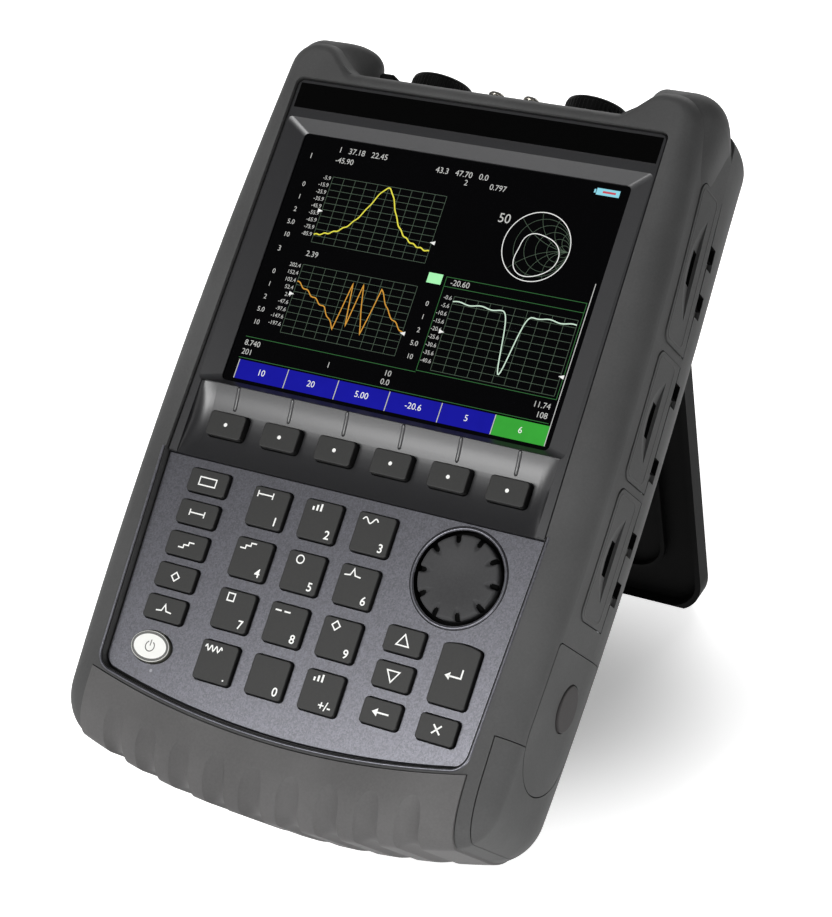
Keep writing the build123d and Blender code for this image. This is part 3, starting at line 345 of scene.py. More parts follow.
stand_plastic = black_moulding("black_glass_filled_nylon", "#060606", "#0c0c0c", 1.1, 0.55)
cap_plastic = black_moulding("black_polypropylene", "#0a0a0a", "#121212", 0.8, 0.4)
knob_plastic = black_moulding("smooth_black_abs", "#3c3c3d", "#464647", 0.8, 0.4)
# This black is painted shade: it goes only where shade falls, in openings, gaps and hollows.
painted_shade_black = black_moulding("black_painted_shade", "#020202", "#050505", 0.8, 0.8)
dress(stand_plastic, "kickstand")
dress(cap_plastic, "dust_cap_left", "dust_cap_right", "top_plug", "encoder")
dress(knob_plastic, "control_knob")

# %% Bright metal
TURNING_MM, TURNING_BUMP = 0.6, 0.00003


def turned_metal(name, dark, light, roughness):
    metal = new_material(name)
    marks = noise(metal, TURNING_MM)
    colour = ramp(metal, marks, dark, light)
    normal = bump(metal, marks, 0.1, TURNING_BUMP)
    values = {"Metallic": 1.0, "Roughness": roughness}
    return surface(metal, values, {"Base Color": colour, "Normal": normal})


nickel = turned_metal("bright_nickel_plate", "#b9b6b0", "#d8d5cf", 0.22)
steel = turned_metal("zinc_plated_steel", "#8f9194", "#b4b6b8", 0.35)
gold = turned_metal("gold_plated_contact", "#c9a04a", "#e3c070", 0.25)
milled = turned_metal("milled_aluminium", "#b5b7b9", "#d0d1d3", 0.4)
dress(nickel, "sma_jacks", "rf_ports")
dress(steel, "door_hinge_pins", "stand_pins", "case_screws", "encoder_shaft", "side_sockets")
dress(milled, "rf_module")
print("black mouldings and metals done")

# %% [markdown]
# ## Inner pieces
# The boards, the screen module and the battery are hidden, but they come into view if someone takes the
# case apart, so they get their own finishes: green solder mask over glass-fibre board with a faint weave,
# black film on the screen module and shrink wrap on the cells.

# %% Boards and wraps
WEAVE_MM = 1.2
solder_mask = new_material("green_solder_mask")
place = add_node(solder_mask, "ShaderNodeTexCoord")
weave = add_node(
    solder_mask,
    "ShaderNodeTexChecker",
    {"Scale": per_metre(WEAVE_MM), "Color1": hex_colour("#0f4a2a"), "Color2": hex_colour("#135632")},
    {"Vector": place.outputs["Object"]},
)
surface(solder_mask, {"Roughness": 0.3, "IOR": 1.55}, {"Base Color": weave.outputs["Color"]})
dress(solder_mask, "keypad_board", "main_board")
dress(black_moulding("black_polarising_film", "#050506", "#0b0b0c", 3.0, 0.3), "display_panel")
dress(black_moulding("dark_shrink_wrap", "#20242c", "#2b303a", 2.0, 0.4), "battery_pack")
print("inner pieces done")

# %% [markdown]
# ## Drawing flat signs
# Everything printed or lit is made of flat polygons. A line becomes a chain of four-sided pieces whose
# corners are mitred, so it keeps its width round bends. Numbers come from Blender's own font, turned into
# polygons, so that a whole group of signs can be one light mesh instead of many text objects.

# %% Strokes, numbers and prints
SHARPEST_MITRE = 0.4
DIGIT_SHARE = 0.7


def stroke(points, width, closed=False):
    count = len(points)
    sides = []
    for i, (x, y) in enumerate(points):
        runs = []
        if closed or i > 0:
            runs.append(Vector((x - points[i - 1][0], y - points[i - 1][1])).normalized())
        if closed or i < count - 1:
            after = points[(i + 1) % count]
            runs.append(Vector((after[0] - x, after[1] - y)).normalized())
        along = sum(runs, Vector((0, 0))).normalized()
        across = Vector((-along.y, along.x))
        mitre = max(SHARPEST_MITRE, abs(across.dot(Vector((-runs[0].y, runs[0].x)))))
        reach = across * width / 2 / mitre
        sides.append(((x + reach.x, y + reach.y), (x - reach.x, y - reach.y)))
    pieces = []
    for i in range(count if closed else count - 1):
        start, end = sides[i], sides[(i + 1) % count]
        pieces.append([start[1], end[1], end[0], start[0]])
    return pieces


def rectangle(x, y, width, height):
    left, right = x - width / 2, x + width / 2
    low, high = y - height / 2, y + height / 2
    return [[(left, low), (right, low), (right, high), (left, high)]]


def arc(x, y, radius, start, end, count=24):
    turns = [math.radians(start + (end - start) * i / count) for i in range(count + 1)]
    return [(x + radius * math.cos(turn), y + radius * math.sin(turn)) for turn in turns]


def circle(x, y, radius, count=24):
    return arc(x, y, radius, 0, 360, count)[:-1]


def numbers(text, x, y, height, side="CENTER", weight=0.0):
    letters = bpy.data.curves.new("numbers", "FONT")
    letters.body = text
    letters.size = height / DIGIT_SHARE
    letters.offset = weight
    letters.align_x = side
    letters.align_y = "CENTER"
    letters.resolution_u = 4
    holder = bpy.data.objects.new("numbers", letters)
    mesh = bpy.data.meshes.new_from_object(holder)
    pieces = []
    for polygon in mesh.polygons:
        corners = [mesh.vertices[v].co for v in polygon.vertices]
        pieces.append([(x + corner.x, y + corner.y) for corner in corners])
    bpy.data.objects.remove(holder)
    bpy.data.curves.remove(letters)
    bpy.data.meshes.remove(mesh)
    return pieces


def add_mesh(name, points, polygons, material, body):
    mesh = bpy.data.meshes.new(name)
    mesh.from_pydata(points, [], polygons)
    mesh.materials.append(material)
    piece = bpy.data.objects.new(name, mesh)
    bpy.context.scene.collection.objects.link(piece)
    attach(piece, body)
    return piece


def print_sign(name, pieces, height, material, body):
    points, polygons = [], []
    for piece in pieces:
        polygons.append(range(len(points), len(points) + len(piece)))
        points += [on_face(x, y, height) for x, y in piece]
    return add_mesh(name, points, polygons, material, body)


# %% [markdown]
# ## Inks and screen light
# Printed ink is matte. The screen is lit from behind, so its colours glow: an emission that gives the same
# colour from every side. A faint unevenness in strength keeps the large lit areas from looking pasted on.

# %% Inks and lit colours
CELLS_MM, PRINT_MM = 6, 0.8


def lit_colour(name, code, strength):
    lit = new_material(name)
    values = {"To Min": strength * 0.9, "To Max": strength * 1.1}
    level = add_node(lit, "ShaderNodeMapRange", values, {"Value": noise(lit, CELLS_MM)})
    values = {"Base Color": (0, 0, 0, 1), "Specular IOR Level": 0.0, "Emission Color": hex_colour(code)}
    return surface(lit, values, {"Emission Strength": level.outputs["Result"]})


def printed_ink(name, dark, light):
    ink = new_material(name)
    colour = ramp(ink, noise(ink, PRINT_MM), dark, light)
    return surface(ink, {"Roughness": 0.5}, {"Base Color": colour})


white_ink = printed_ink("white_key_ink", "#e9e9e6", "#fbfbf8")
# This grey prints the power sign and also paints shade round the button's edge.
grey_print_and_shade_ink = printed_ink("grey_button_print_and_shade_ink", "#4a4a48", "#5c5c59")
lamp_lens = printed_ink("clear_lamp_lens", "#85858b", "#97979d")
LIT_LOOKS = {
    "grid": ("screen_grid_green", "#5d6f5e", 0.8),
    "frame": ("screen_frame_green", "#3f7a45", 0.8),
    "text": ("screen_text_grey", "#d2d2cf", 0.85),
    "yellow": ("screen_trace_yellow", "#e9e24e", 1.0),
    "orange": ("screen_trace_orange", "#d79b3e", 1.0),
    "white": ("screen_trace_white", "#f2f2f0", 1.0),
    "pale": ("screen_trace_pale_green", "#d3ecd8", 1.0),
    "blue": ("screen_tab_blue", "#1a1a9c", 1.0),
    "green": ("screen_tab_green", "#3aa33a", 1.0),
    "mint": ("screen_tag_mint", "#a9f5b4", 1.0),
    "red": ("screen_mark_red", "#c8505a", 1.0),
    "cyan": ("screen_mark_cyan", "#8fd6e6", 1.0),
}
lit = {key: lit_colour(*look) for key, look in LIT_LOOKS.items()}
print("lit colours:", len(lit))

# %% [markdown]
# ## What the screen shows
# A network analyzer plots several measurements at once: here a filter's peak, a round impedance chart, a
# phase sweep and a notch, each on its own grid with plain numbers beside it. The curves are formulas, so
# the shapes can be changed by changing a few numbers. A row of coloured tabs sits over the soft keys.

# %% Grids and frames
ON_GLASS = GLASS_TOP + 0.04
OVER_TABS = ON_GLASS + 0.02
OVER_GRID = ON_GLASS + 0.03
GRID_LINE, FRAME_LINE = 0.16, 0.22
PANES = {
    "peak": (-51.5, 7.8, -1.8, 34.6),
    "phase": (-51.6, -29.0, -1.6, -1.4),
    "notch": (14.4, -31.4, 65.0, -2.5),
}


def grid_lines(low_x, low_y, high_x, high_y, width):
    lines = []
    for i in range(11):
        x = low_x + (high_x - low_x) * i / 10
        lines += stroke([(x, low_y), (x, high_y)], width)
        y = low_y + (high_y - low_y) * i / 10
        lines += stroke([(low_x, y), (high_x, y)], width)
    return lines


grids = []
for pane in PANES.values():
    grids += grid_lines(*pane, GRID_LINE)
print_sign("screen_grids", grids, ON_GLASS, lit["grid"], "body")

frames = stroke([(8.8, 4.3), (66.2, 4.3), (66.2, -32.5), (8.8, -32.5)], FRAME_LINE, True)
frames += stroke([(8.8, 0.6), (66.2, 0.6)], FRAME_LINE)
frames += stroke([(-65.4, -33.2), (8.8, -33.2)], FRAME_LINE)
frames += stroke([(-65.4, -41.6), (66.2, -41.6)], FRAME_LINE)
print_sign("screen_frames", frames, ON_GLASS, lit["frame"], "body")
print("grids drawn:", len(PANES))

# %% Measured curves


def trace(pane, shape, width, count=120):
    low_x, low_y, high_x, high_y = pane
    points = []
    for i in range(count + 1):
        share = i / count
        points.append((low_x + (high_x - low_x) * share, low_y + (high_y - low_y) * shape(share)))
    return stroke(points, width)


def peak_shape(share):
    slope = 0.1 + 0.9 / (1 + ((share - 0.5) / 0.17) ** 2) ** 1.1
    return slope - 0.06 * (1 - share) + 0.01 * math.sin(90 * share)


def phase_shape(share):
    turns = [(0, 0.75), (0.3, 0.45), (0.42, 0.2), (0.47, 0.85), (0.52, 0.28), (0.56, 0.86), (0.66, 0.18)]
    turns += [(0.72, 0.86), (0.84, 0.55), (1, 0.33)]
    for (x0, y0), (x1, y1) in zip(turns, turns[1:]):
        if x0 <= share <= x1:
            return y0 + (y1 - y0) * (share - x0) / (x1 - x0) + 0.015 * math.sin(70 * share)
    return turns[-1][1]


def notch_shape(share):
    return 0.93 - 0.8 * math.exp(-(((share - 0.53) / 0.055) ** 2)) + 0.012 * math.sin(34 * share)


peak = trace(PANES["peak"], peak_shape, 0.5)
phase = trace(PANES["phase"], phase_shape, 0.42, 300)
notch = trace(PANES["notch"], notch_shape, 0.45)
print_sign("screen_peak", peak, OVER_GRID, lit["yellow"], "body")
print_sign("screen_phase", phase, OVER_GRID, lit["orange"], "body")
print_sign("screen_notch", notch, OVER_GRID, lit["pale"], "body")
print("curves drawn:", 3)

# %% Round impedance chart
CHART_X, CHART_Y, CHART_RADIUS = 39.9, 21.6, 13.4
CHART_LINE, CHART_HAIRLINE = 0.32, 0.14
CHART_RIGHT = CHART_X + CHART_RADIUS
rings = stroke(arc(CHART_X, CHART_Y, CHART_RADIUS, 0, 360, 64), CHART_LINE)
loop = []
for i in range(81):
    turn = 2 * math.pi * i / 80
    radius = CHART_RADIUS * (0.62 + 0.16 * math.cos(turn + 0.6) + 0.05 * math.cos(3 * turn))
    loop.append((CHART_X - 0.8 + radius * math.cos(turn), CHART_Y - 2.2 + radius * math.sin(turn)))
rings += stroke(loop, CHART_LINE)
print_sign("screen_chart", rings, OVER_GRID, lit["white"], "body")
circles = []
for level in (0.17, 0.33, 0.5, 0.67, 0.83):
    radius = CHART_RADIUS * level
    circles += stroke(arc(CHART_RIGHT - radius, CHART_Y, radius, 0, 360, 40), CHART_HAIRLINE)
for level in (0.3, 0.6, 1.1, 2.2):
    radius = CHART_RADIUS * level
    half = math.degrees(2 * math.atan(CHART_RADIUS / radius))
    circles += stroke(arc(CHART_RIGHT, CHART_Y + radius, radius, 270 - half, 270), CHART_HAIRLINE)
    circles += stroke(arc(CHART_RIGHT, CHART_Y - radius, radius, 90, 90 + half), CHART_HAIRLINE)
print_sign("screen_chart_grid", circles, ON_GLASS, lit["grid"], "body")
print("chart radius in mm:", CHART_RADIUS)

# %% Numbers beside the curves
READOUTS = [
    ("1   37.18   22.45", -53, 45.6, 2.3, "LEFT"),
    ("43.3   47.70   0.0", -10, 44.2, 2.3, "LEFT"),
    ("1", -64, 41.4, 2.2, "CENTER"),
    ("-45.90", -53, 41.4, 2.2, "LEFT"),
    ("2", 4, 41.0, 2.2, "CENTER"),
    ("0.797", 14, 41.0, 2.2, "LEFT"),
    ("50", 24, 30, 3.6, "CENTER"),
    ("3", -64, 3.0, 2.2, "CENTER"),
    ("2.39", -52, 3.0, 2.2, "LEFT"),
    ("-20.60", 11, 2.4, 2.2, "LEFT"),
    ("8.740", -65, -35.6, 2.2, "LEFT"),
    ("201", -65, -39.2, 2.2, "LEFT"),
    ("1", -27, -37.6, 2.2, "CENTER"),
    ("10", -2, -36, 2.2, "CENTER"),
    ("0.0", -2, -39.4, 2.2, "CENTER"),
    ("11.74", 65, -35.6, 2.2, "RIGHT"),
    ("108", 65, -39.2, 2.2, "RIGHT"),
]
for name, top, step in (("peak", -5.9, 10), ("phase", 202.4, 50), ("notch", -0.6, 5)):
    low_x, low_y, high_x, high_y = PANES[name]
    for i in range(9):
        y = high_y - (high_y - low_y) * (i + 0.3) / 9.3
        READOUTS.append((f"{top - step * i:.1f}", low_x - 0.8, y, 1.55, "RIGHT"))
for x, low in ((-63, 9), (-63, -27), (4.5, -28)):
    for i, text in enumerate(("10", "5.0", "2", "1", "0")):
        READOUTS.append((text, x, low + 5.2 * i, 1.9, "CENTER"))
readouts = []
for entry in READOUTS:
    readouts += numbers(*entry)
print_sign("screen_numbers", readouts, ON_GLASS, lit["text"], "body")
print("numbers on the screen:", len(READOUTS))

# %% Tabs and small marks
TAB_LEFT, TAB_TOP, TAB_LOW, TAB_PITCH = -64.6, -42.4, -49.9, 22.0
TAB_GAP, TAB_EDGE = 0.5, 0.35
blue_tabs, edges, tab_numbers = [], [], []
for i, text in enumerate(("10", "20", "5.00", "-20.6", "5", "6")):
    x = TAB_LEFT + TAB_PITCH * (i + 0.5)
    tab = rectangle(x, (TAB_TOP + TAB_LOW) / 2, TAB_PITCH - TAB_GAP, TAB_TOP - TAB_LOW)
    if i < 5:
        blue_tabs += tab
    else:
        print_sign("screen_tab_green", tab, ON_GLASS, lit["green"], "body")
    edges += stroke([(x - TAB_PITCH / 2, TAB_LOW), (x - TAB_PITCH / 2, TAB_TOP)], TAB_EDGE)
    tab_numbers += numbers(text, x, -46.1, 2.4)
edges += stroke([(67.2, TAB_LOW), (67.2, 12)], 0.3)
print_sign("screen_tabs_blue", blue_tabs, ON_GLASS, lit["blue"], "body")
print_sign("screen_tab_edges", edges, OVER_TABS, lit["text"], "body")
print_sign("screen_tab_numbers", tab_numbers, OVER_GRID, lit["white"], "body")

print_sign("screen_tag", rectangle(4.2, 2.8, 6, 4), ON_GLASS, lit["mint"], "body")
battery = rectangle(60.8, 46.3, 9.2, 2.6) + rectangle(55.6, 46.3, 0.7, 1.4)
print_sign("screen_battery", battery, ON_GLASS, lit["cyan"], "body")
print_sign("screen_battery_level", rectangle(61.3, 46.3, 5.2, 0.8), OVER_TABS, lit["red"], "body")
POINTERS = [(-53.2, 20.5, 1), (-0.4, 16, -1), (-53.4, -13.5, 1)]
POINTERS += [(-0.4, -20, -1), (12.8, -16.5, 1), (66.4, -24, -1)]
POINTER_LENGTH, POINTER_HALF = 2.2, 0.8
pointers = []
for x, y, way in POINTERS:
    pointers.append([(x, y - POINTER_HALF), (x + POINTER_LENGTH * way, y), (x, y + POINTER_HALF)])
print_sign("screen_pointers", pointers, OVER_GRID, lit["white"], "body")
print("screen drawn")

# %% [markdown]
# ## Signs on the keys
# The keys carry plain generic signs: digits, a point, a plus-minus, arrows and small drawn symbols. Each
# sign is its own piece and rides on its key, so that it goes down with the key. The soft keys only have a
# dot.

# %% Small drawn symbols
SIGN_LINE = 0.5
BAR_STEPS = ((-1.6, -0.4, 1.4), (0, 0, 2.2), (1.6, 0.3, 2.8))
LINE_SIGNS = {
    "frame": ([(-3.6, -1.5), (3.6, -1.5), (3.6, 1.5), (-3.6, 1.5)], True),
    "peak": ([(-3.4, -1.2), (-1, -0.9), (0, 1.5), (1, -0.9), (3.4, -1.2)], False),
    "steps": ([(-3.2, -1.2), (-1, -1.2), (-1, 0), (1, 0), (1, 1.2), (3.2, 1.2)], False),
    "diamond": ([(-1.7, 0), (0, -1.7), (1.7, 0), (0, 1.7)], True),
    "square": ([(-1.4, -1.4), (1.4, -1.4), (1.4, 1.4), (-1.4, 1.4)], True),
}
WAVES = {"wave": (6.4, 2.0, 1.5), "burst": (7.2, 2.0, 3.5)}


def wave(x, y, width, height, turns):
    points = []
    for i in range(25):
        share = i / 24
        points.append((x + width * (share - 0.5), y + height / 2 * math.sin(2 * math.pi * turns * share)))
    return stroke(points, SIGN_LINE)


def small_sign(name, x, y):
    if name in LINE_SIGNS:
        points, closed = LINE_SIGNS[name]
        return stroke([(x + dx, y + dy) for dx, dy in points], SIGN_LINE, closed)
    if name in WAVES:
        return wave(x, y, *WAVES[name])
    if name == "bars":
        return sum([rectangle(x + dx, y + dy, 0.8, height) for dx, dy, height in BAR_STEPS], [])
    if name == "dashes":
        return rectangle(x - 1.9, y, 2.6, 0.6) + rectangle(x + 1.9, y, 2.6, 0.6)
    if name == "ring":
        return stroke(arc(x, y, 1.5, 0, 360, 20), SIGN_LINE)
    posts = stroke([(x - 3.2, y + 1.2), (x - 3.2, y - 1.2)], SIGN_LINE)
    posts += stroke([(x + 3.2, y + 1.2), (x + 3.2, y - 1.2)], SIGN_LINE)
    return posts + stroke([(x - 3.2, y), (x + 3.2, y)], SIGN_LINE)


# %% Soft keys, number block and function keys
PLATE_TOP, KEY_RISE, BUTTON_RISE, SOFT_RISE = 2.5, 1.9, 1.6, 3.4
INK_LIFT, LAMP_LIFT = 0.03, 0.04
KEY_TOP = PLATE_TOP + KEY_RISE + INK_LIFT
BUTTON_TOP = PLATE_TOP + BUTTON_RISE + INK_LIFT
SOFT_TOP = SOFT_RISE + INK_LIFT
SOFT_XS = [(i - 2.5) * 23.9 for i in range(6)]
SOFT_Y, DOT_RADIUS = -68.8, 0.75
for i, x in enumerate(SOFT_XS, 1):
    dot = [circle(x, SOFT_Y, DOT_RADIUS)]
    print_sign(f"softkey_dot_{i}", dot, SOFT_TOP, white_ink, f"softkey_{i}")

BLOCK_X, BLOCK_Y, BLOCK_PITCH_X, BLOCK_PITCH_Y = -30.3, -95.6, 22.5, 19.8
DIGIT_HEIGHT, DIGIT_WEIGHT = 3.2, 0.07
DIGIT_KEY_SIGNS = ["range", "bars", "wave", "steps", "ring", "peak", "square", "dashes", "diamond"]
NUMBER_BLOCK = [(f"number_key_{i}", str(i), small) for i, small in enumerate(DIGIT_KEY_SIGNS, 1)]
NUMBER_BLOCK += [("point_key", ".", "burst"), ("number_key_0", "0", None), ("sign_key", "+/-", "bars")]
for i, (key, sign, small) in enumerate(NUMBER_BLOCK):
    x = BLOCK_X + i % 3 * BLOCK_PITCH_X
    y = BLOCK_Y - i // 3 * BLOCK_PITCH_Y
    pieces = numbers(sign, x + 5.9, y - 4.6, DIGIT_HEIGHT, "RIGHT", DIGIT_WEIGHT)
    if small:
        pieces += small_sign(small, x - 2.4, y + 4.6)
    print_sign(f"{key}_sign", pieces, KEY_TOP, white_ink, key)

FUNCTION_X, FUNCTION_Y, FUNCTION_PITCH = -58.3, -91.6, 12.4
for i, small in enumerate(("frame", "range", "steps", "diamond", "peak")):
    key = f"function_key_{i + 1}"
    pieces = small_sign(small, FUNCTION_X, FUNCTION_Y - FUNCTION_PITCH * i)
    print_sign(f"{key}_sign", pieces, KEY_TOP, white_ink, key)
print("signs on the number block:", len(NUMBER_BLOCK))

# %% Arrows, enter, escape and power
ARROW_X, BACK_Y = 39.8, -156.2
ARROW_LINE, POWER_LINE, POWER_SHADE_RING = 0.6, 0.4, 0.95
up_arrow = [(ARROW_X - 2.5, -131.4), (ARROW_X + 2.5, -131.4), (ARROW_X, -127.3)]
down_arrow = [(ARROW_X - 2.5, -140.8), (ARROW_X, -144.9), (ARROW_X + 2.5, -140.8)]
back_sign = [[(ARROW_X - 3.4, BACK_Y), (ARROW_X - 1.2, BACK_Y - 1.5), (ARROW_X - 1.2, BACK_Y + 1.5)]]
back_sign += stroke([(ARROW_X - 1.2, BACK_Y), (ARROW_X + 3.4, BACK_Y)], ARROW_LINE)
enter_sign = stroke([(65.4, -134), (65.4, -137.2), (60.4, -137.2)], ARROW_LINE)
enter_sign.append([(59, -137.2), (61, -138.6), (61, -135.8)])
escape_sign = stroke([(60.9, -157.9), (64.1, -154.7)], ARROW_LINE)
escape_sign += stroke([(60.9, -154.7), (64.1, -157.9)], ARROW_LINE)
for key, pieces in (
    ("up_key", stroke(up_arrow, SIGN_LINE, True)),
    ("down_key", stroke(down_arrow, SIGN_LINE, True)),
    ("back_key", back_sign),
    ("enter_key", enter_sign),
    ("escape_key", escape_sign),
):
    print_sign(f"{key}_sign", pieces, KEY_TOP, white_ink, key)
POWER_X, POWER_Y = -59.2, -155.9
power_sign = stroke(arc(POWER_X, POWER_Y, 1.9, 120, 420), POWER_LINE)
power_sign += stroke([(POWER_X, POWER_Y + 0.2), (POWER_X, POWER_Y + 2.5)], POWER_LINE)
print_sign("power_button_sign", power_sign, BUTTON_TOP, grey_print_and_shade_ink, "power_button")
# A grey ring round the edge of the button's top is painted shade, the shade of its recess.
oval = [(POWER_X + 7.55 * u, POWER_Y + 5.05 * v) for u, v in circle(0, 0, 1, 48)]
print_sign("power_button_shade_ring", stroke(oval, POWER_SHADE_RING, True), BUTTON_TOP, grey_print_and_shade_ink, "power_button")
lamp = [circle(-56.4, -164.3, 0.6)]
print_sign("power_lamp", lamp, PLATE_TOP + LAMP_LIFT, lamp_lens, "body")
print("key signs printed")

# %% [markdown]
# ## Surfaces from rows of points
# Ridges, beads, coves and turned parts are all drawn in one way: rows of points with a skin of four-sided
# pieces between neighbouring rows. A turned part is a profile of radius and height spun round its axis. A
# bead, a low half-round rim, is a half circle swept along a path.

# %% Skins, turned parts and beads
SINK = 0.03


def skin(rows, closed=False):
    width = len(rows[0])
    polygons = []
    for row in range(len(rows) - 1):
        for column in range(width if closed else width - 1):
            after = (column + 1) % width
            low, high = row * width, (row + 1) * width
            polygons.append((low + column, low + after, high + after, high + column))
    return polygons


def add_rows(name, rows, material, body, closed=False, smooth=True):
    piece = add_mesh(name, sum(rows, []), skin(rows, closed), material, body)
    if smooth:
        piece.data.shade_smooth()
    return piece


def spin(profile, place, count=40):
    turns = [2 * math.pi * k / count for k in range(count)]
    rows = []
    for radius, height in profile:
        rows.append([place(radius * math.cos(turn), radius * math.sin(turn), height) for turn in turns])
    return rows


def bead(name, path, width, rise, place, material, body, closed=True):
    rows = []
    last = len(path) - 1
    for i, (u, v) in enumerate(path):
        before = path[i - 1] if closed or i > 0 else path[0]
        after = path[(i + 1) % len(path)] if closed or i < last else path[last]
        along = Vector((after[0] - before[0], after[1] - before[1])).normalized()
        half_circle = []
        for k in range(7):
            turn = math.pi * k / 6
            aside = width / 2 * math.cos(turn)
            height = rise * math.sin(turn) - SINK
            half_circle.append(place(u - along.y * aside, v + along.x * aside, height))
        rows.append(half_circle)
    if closed:
        rows.append(rows[0])
    add_rows(name, rows, material, body)


def round_corners(low_u, low_v, high_u, high_v, radius):
    path = []
    corners = ((high_u, high_v, 0), (low_u, high_v, 90), (low_u, low_v, 180), (high_u, low_v, 270))
    for u, v, start in corners:
        centre_u = u - radius if u == high_u else u + radius
        centre_v = v - radius if v == high_v else v + radius
        path += arc(centre_u, centre_v, radius, start, start + 90, 6)
    return path


# %% [markdown]
# ## Guide ridges under the screen
# Six low ridges lead the eye from the tabs on the screen down to the soft keys. On the real surround they
# are part of the moulding. Each is a half-round bar that follows the hollow of the shelf and has round
# ends, built as a row of half circles that shrink to nothing at both ends.

# %% Ridges on the shelf
SHELF_MIDDLE, SHELF_FLOOR, SHELF_RADIUS = -68.25, 0.2, 43.1
RIDGE_WIDTH, RIDGE_RISE, RIDGE_LOW, RIDGE_HIGH = 1.6, 0.45, -62.6, -53.4


def shelf_height(y):
    return SHELF_FLOOR + SHELF_RADIUS - math.sqrt(SHELF_RADIUS**2 - (y - SHELF_MIDDLE) ** 2)


end_steps = (0, 0.06, 0.25, 0.8)
ridge_ys = [RIDGE_LOW + step for step in end_steps] + [-60.5, -58, -55.5]
ridge_ys += [RIDGE_HIGH - step for step in reversed(end_steps)]
for i, x in enumerate(SOFT_XS, 1):
    rows = []
    for y in ridge_ys:
        inside = min(y - RIDGE_LOW, RIDGE_HIGH - y, RIDGE_WIDTH / 2)
        share = math.sqrt(1 - (1 - 2 * inside / RIDGE_WIDTH) ** 2)
        half_circle = []
        for k in range(9):
            turn = math.pi * k / 8
            rise = shelf_height(y) - SINK + RIDGE_RISE * share * math.sin(turn)
            half_circle.append(on_face(x + RIDGE_WIDTH / 2 * share * math.cos(turn), y, rise))
        rows.append(half_circle)
    add_rows(f"guide_ridge_{i}", rows, bezel_abs, "body")
print("ridge length in mm:", RIDGE_HIGH - RIDGE_LOW)

# %% [markdown]
# ## Dark openings in the side
# Each side door has a finger slot, and the case has small windows at its hinges. On the real case they open
# into the shaded inside of the wall. Here they are shallow, so each gets a black box of painted shade: a
# floor and four walls. The side of the case is an arc of a large circle through three measured points,
# which gives every place on it.

# %% Painted shade in slots and hinge windows
SIDE = ((90.0, -189.68), (93.5, -45.0), (86.5, 88.5))
(ax, ay), (bx, by), (cx, cy) = SIDE
squares = [x * x + y * y for x, y in SIDE]
spread = 2 * (ax * (by - cy) + bx * (cy - ay) + cx * (ay - by))
SIDE_X = (squares[0] * (by - cy) + squares[1] * (cy - ay) + squares[2] * (ay - by)) / spread
SIDE_Y = (squares[0] * (cx - bx) + squares[1] * (ax - cx) + squares[2] * (bx - ax)) / spread
SIDE_RADIUS = math.hypot(ax - SIDE_X, ay - SIDE_Y)
LOW_TURN = math.asin((ay - SIDE_Y) / SIDE_RADIUS)
HIGH_TURN = math.asin((cy - SIDE_Y) / SIDE_RADIUS)
HINGE_DEPTH = 34.0
DOORS = (("upper", 31.3, 60.7, 9.4), ("middle", -27.2, 48.5, 14.4), ("lower", -79.5, 49.0, 9.4))
SLOT_ALONG, SLOT_ACROSS, SLOT_FLOOR, SLOT_RIMS = (-6.46, 6.46), (8.44, 13.36), -2.16, (-1.05, -0.3)
HINGE_ALONG, HINGE_ACROSS, HINGE_FLOOR, HINGE_RIMS = (-1.06, 4.46), (-7.36, -2.04), -3.96, (-0.5, -0.2)


def on_side(middle, along, across, height):
    turn = LOW_TURN + (HIGH_TURN - LOW_TURN) * (middle - ay) / (cy - ay)
    x = SIDE_X + (SIDE_RADIUS + height) * math.cos(turn) - along * math.sin(turn)
    y = SIDE_Y + (SIDE_RADIUS + height) * math.sin(turn) + along * math.cos(turn)
    return on_face(x, y, across - HINGE_DEPTH)


# A black floor and four black walls of painted shade inside an opening.
def lining(name, middle, alongs, acrosses, floor, rims, body):
    places = [(alongs[0], 0), (alongs[1], 0), (alongs[1], 1), (alongs[0], 1)]
    points = [on_side(middle, along, acrosses[k], floor) for along, k in places]
    points += [on_side(middle, along, acrosses[k], rims[k]) for along, k in places]
    polygons = [(0, 1, 2, 3), (0, 4, 5, 1), (1, 5, 6, 2), (2, 6, 7, 3), (3, 7, 4, 0)]
    add_mesh(name, points, polygons, painted_shade_black, body)


for door, middle, length, apart in DOORS:
    slot = (SLOT_ALONG, SLOT_ACROSS, SLOT_FLOOR, SLOT_RIMS)
    lining(f"slot_painted_shade_{door}", middle, *slot, f"door_{door}")
    for k, way in enumerate((-1, 1), 1):
        window = [way * apart + along for along in HINGE_ALONG]
        lining(f"hinge_painted_shade_{door}_{k}", middle, window, HINGE_ACROSS, HINGE_FLOOR, HINGE_RIMS, "body")
print("radius of the side's arc in mm:", round(SIDE_RADIUS))

# %% [markdown]
# ## Raised rims
# A low bead runs round each side door, another frames the knob's dish and a third the keypad plate. They
# stiffen the thin mouldings and hide the gap behind them. The path of a door is a rectangle with round
# corners, that of the dish a circle, and that of the plate follows its sides and its bowed lower edge. A
# fine black line beside the last two is painted shade, the shade in the gap.

# %% Beads round the doors, the knob and the plate
DOOR_FACE, DOOR_INSET, DOOR_WIDTH, DOOR_HINGE_EDGE, DOOR_CORNER = 0.3, 1.7, 21.0, 3.4, 2.6
RIM_TOP = 5.5
KNOB_X, KNOB_Y = 51.8, -103.0
DISH_BEAD_RADIUS, DISH_SHADE_LINE_RADIUS = 18.05, 18.8


def on_door(middle):
    def place(along, across, height):
        return on_side(middle, along, across, DOOR_FACE + height)

    return place


def plate_border(offset):
    right = [(80.0 + offset, -82.0)] + arc(70.7, -161.2, 6.0 + offset, -2, -77, 8)
    low = [(x, -166 - 8.8 * (1 - (x / 76.7) ** 2) - offset * 1.02) for x in range(68, -1, -4)]
    half = right + low
    return half + [(-x, y) for x, y in reversed(half[:-1])]


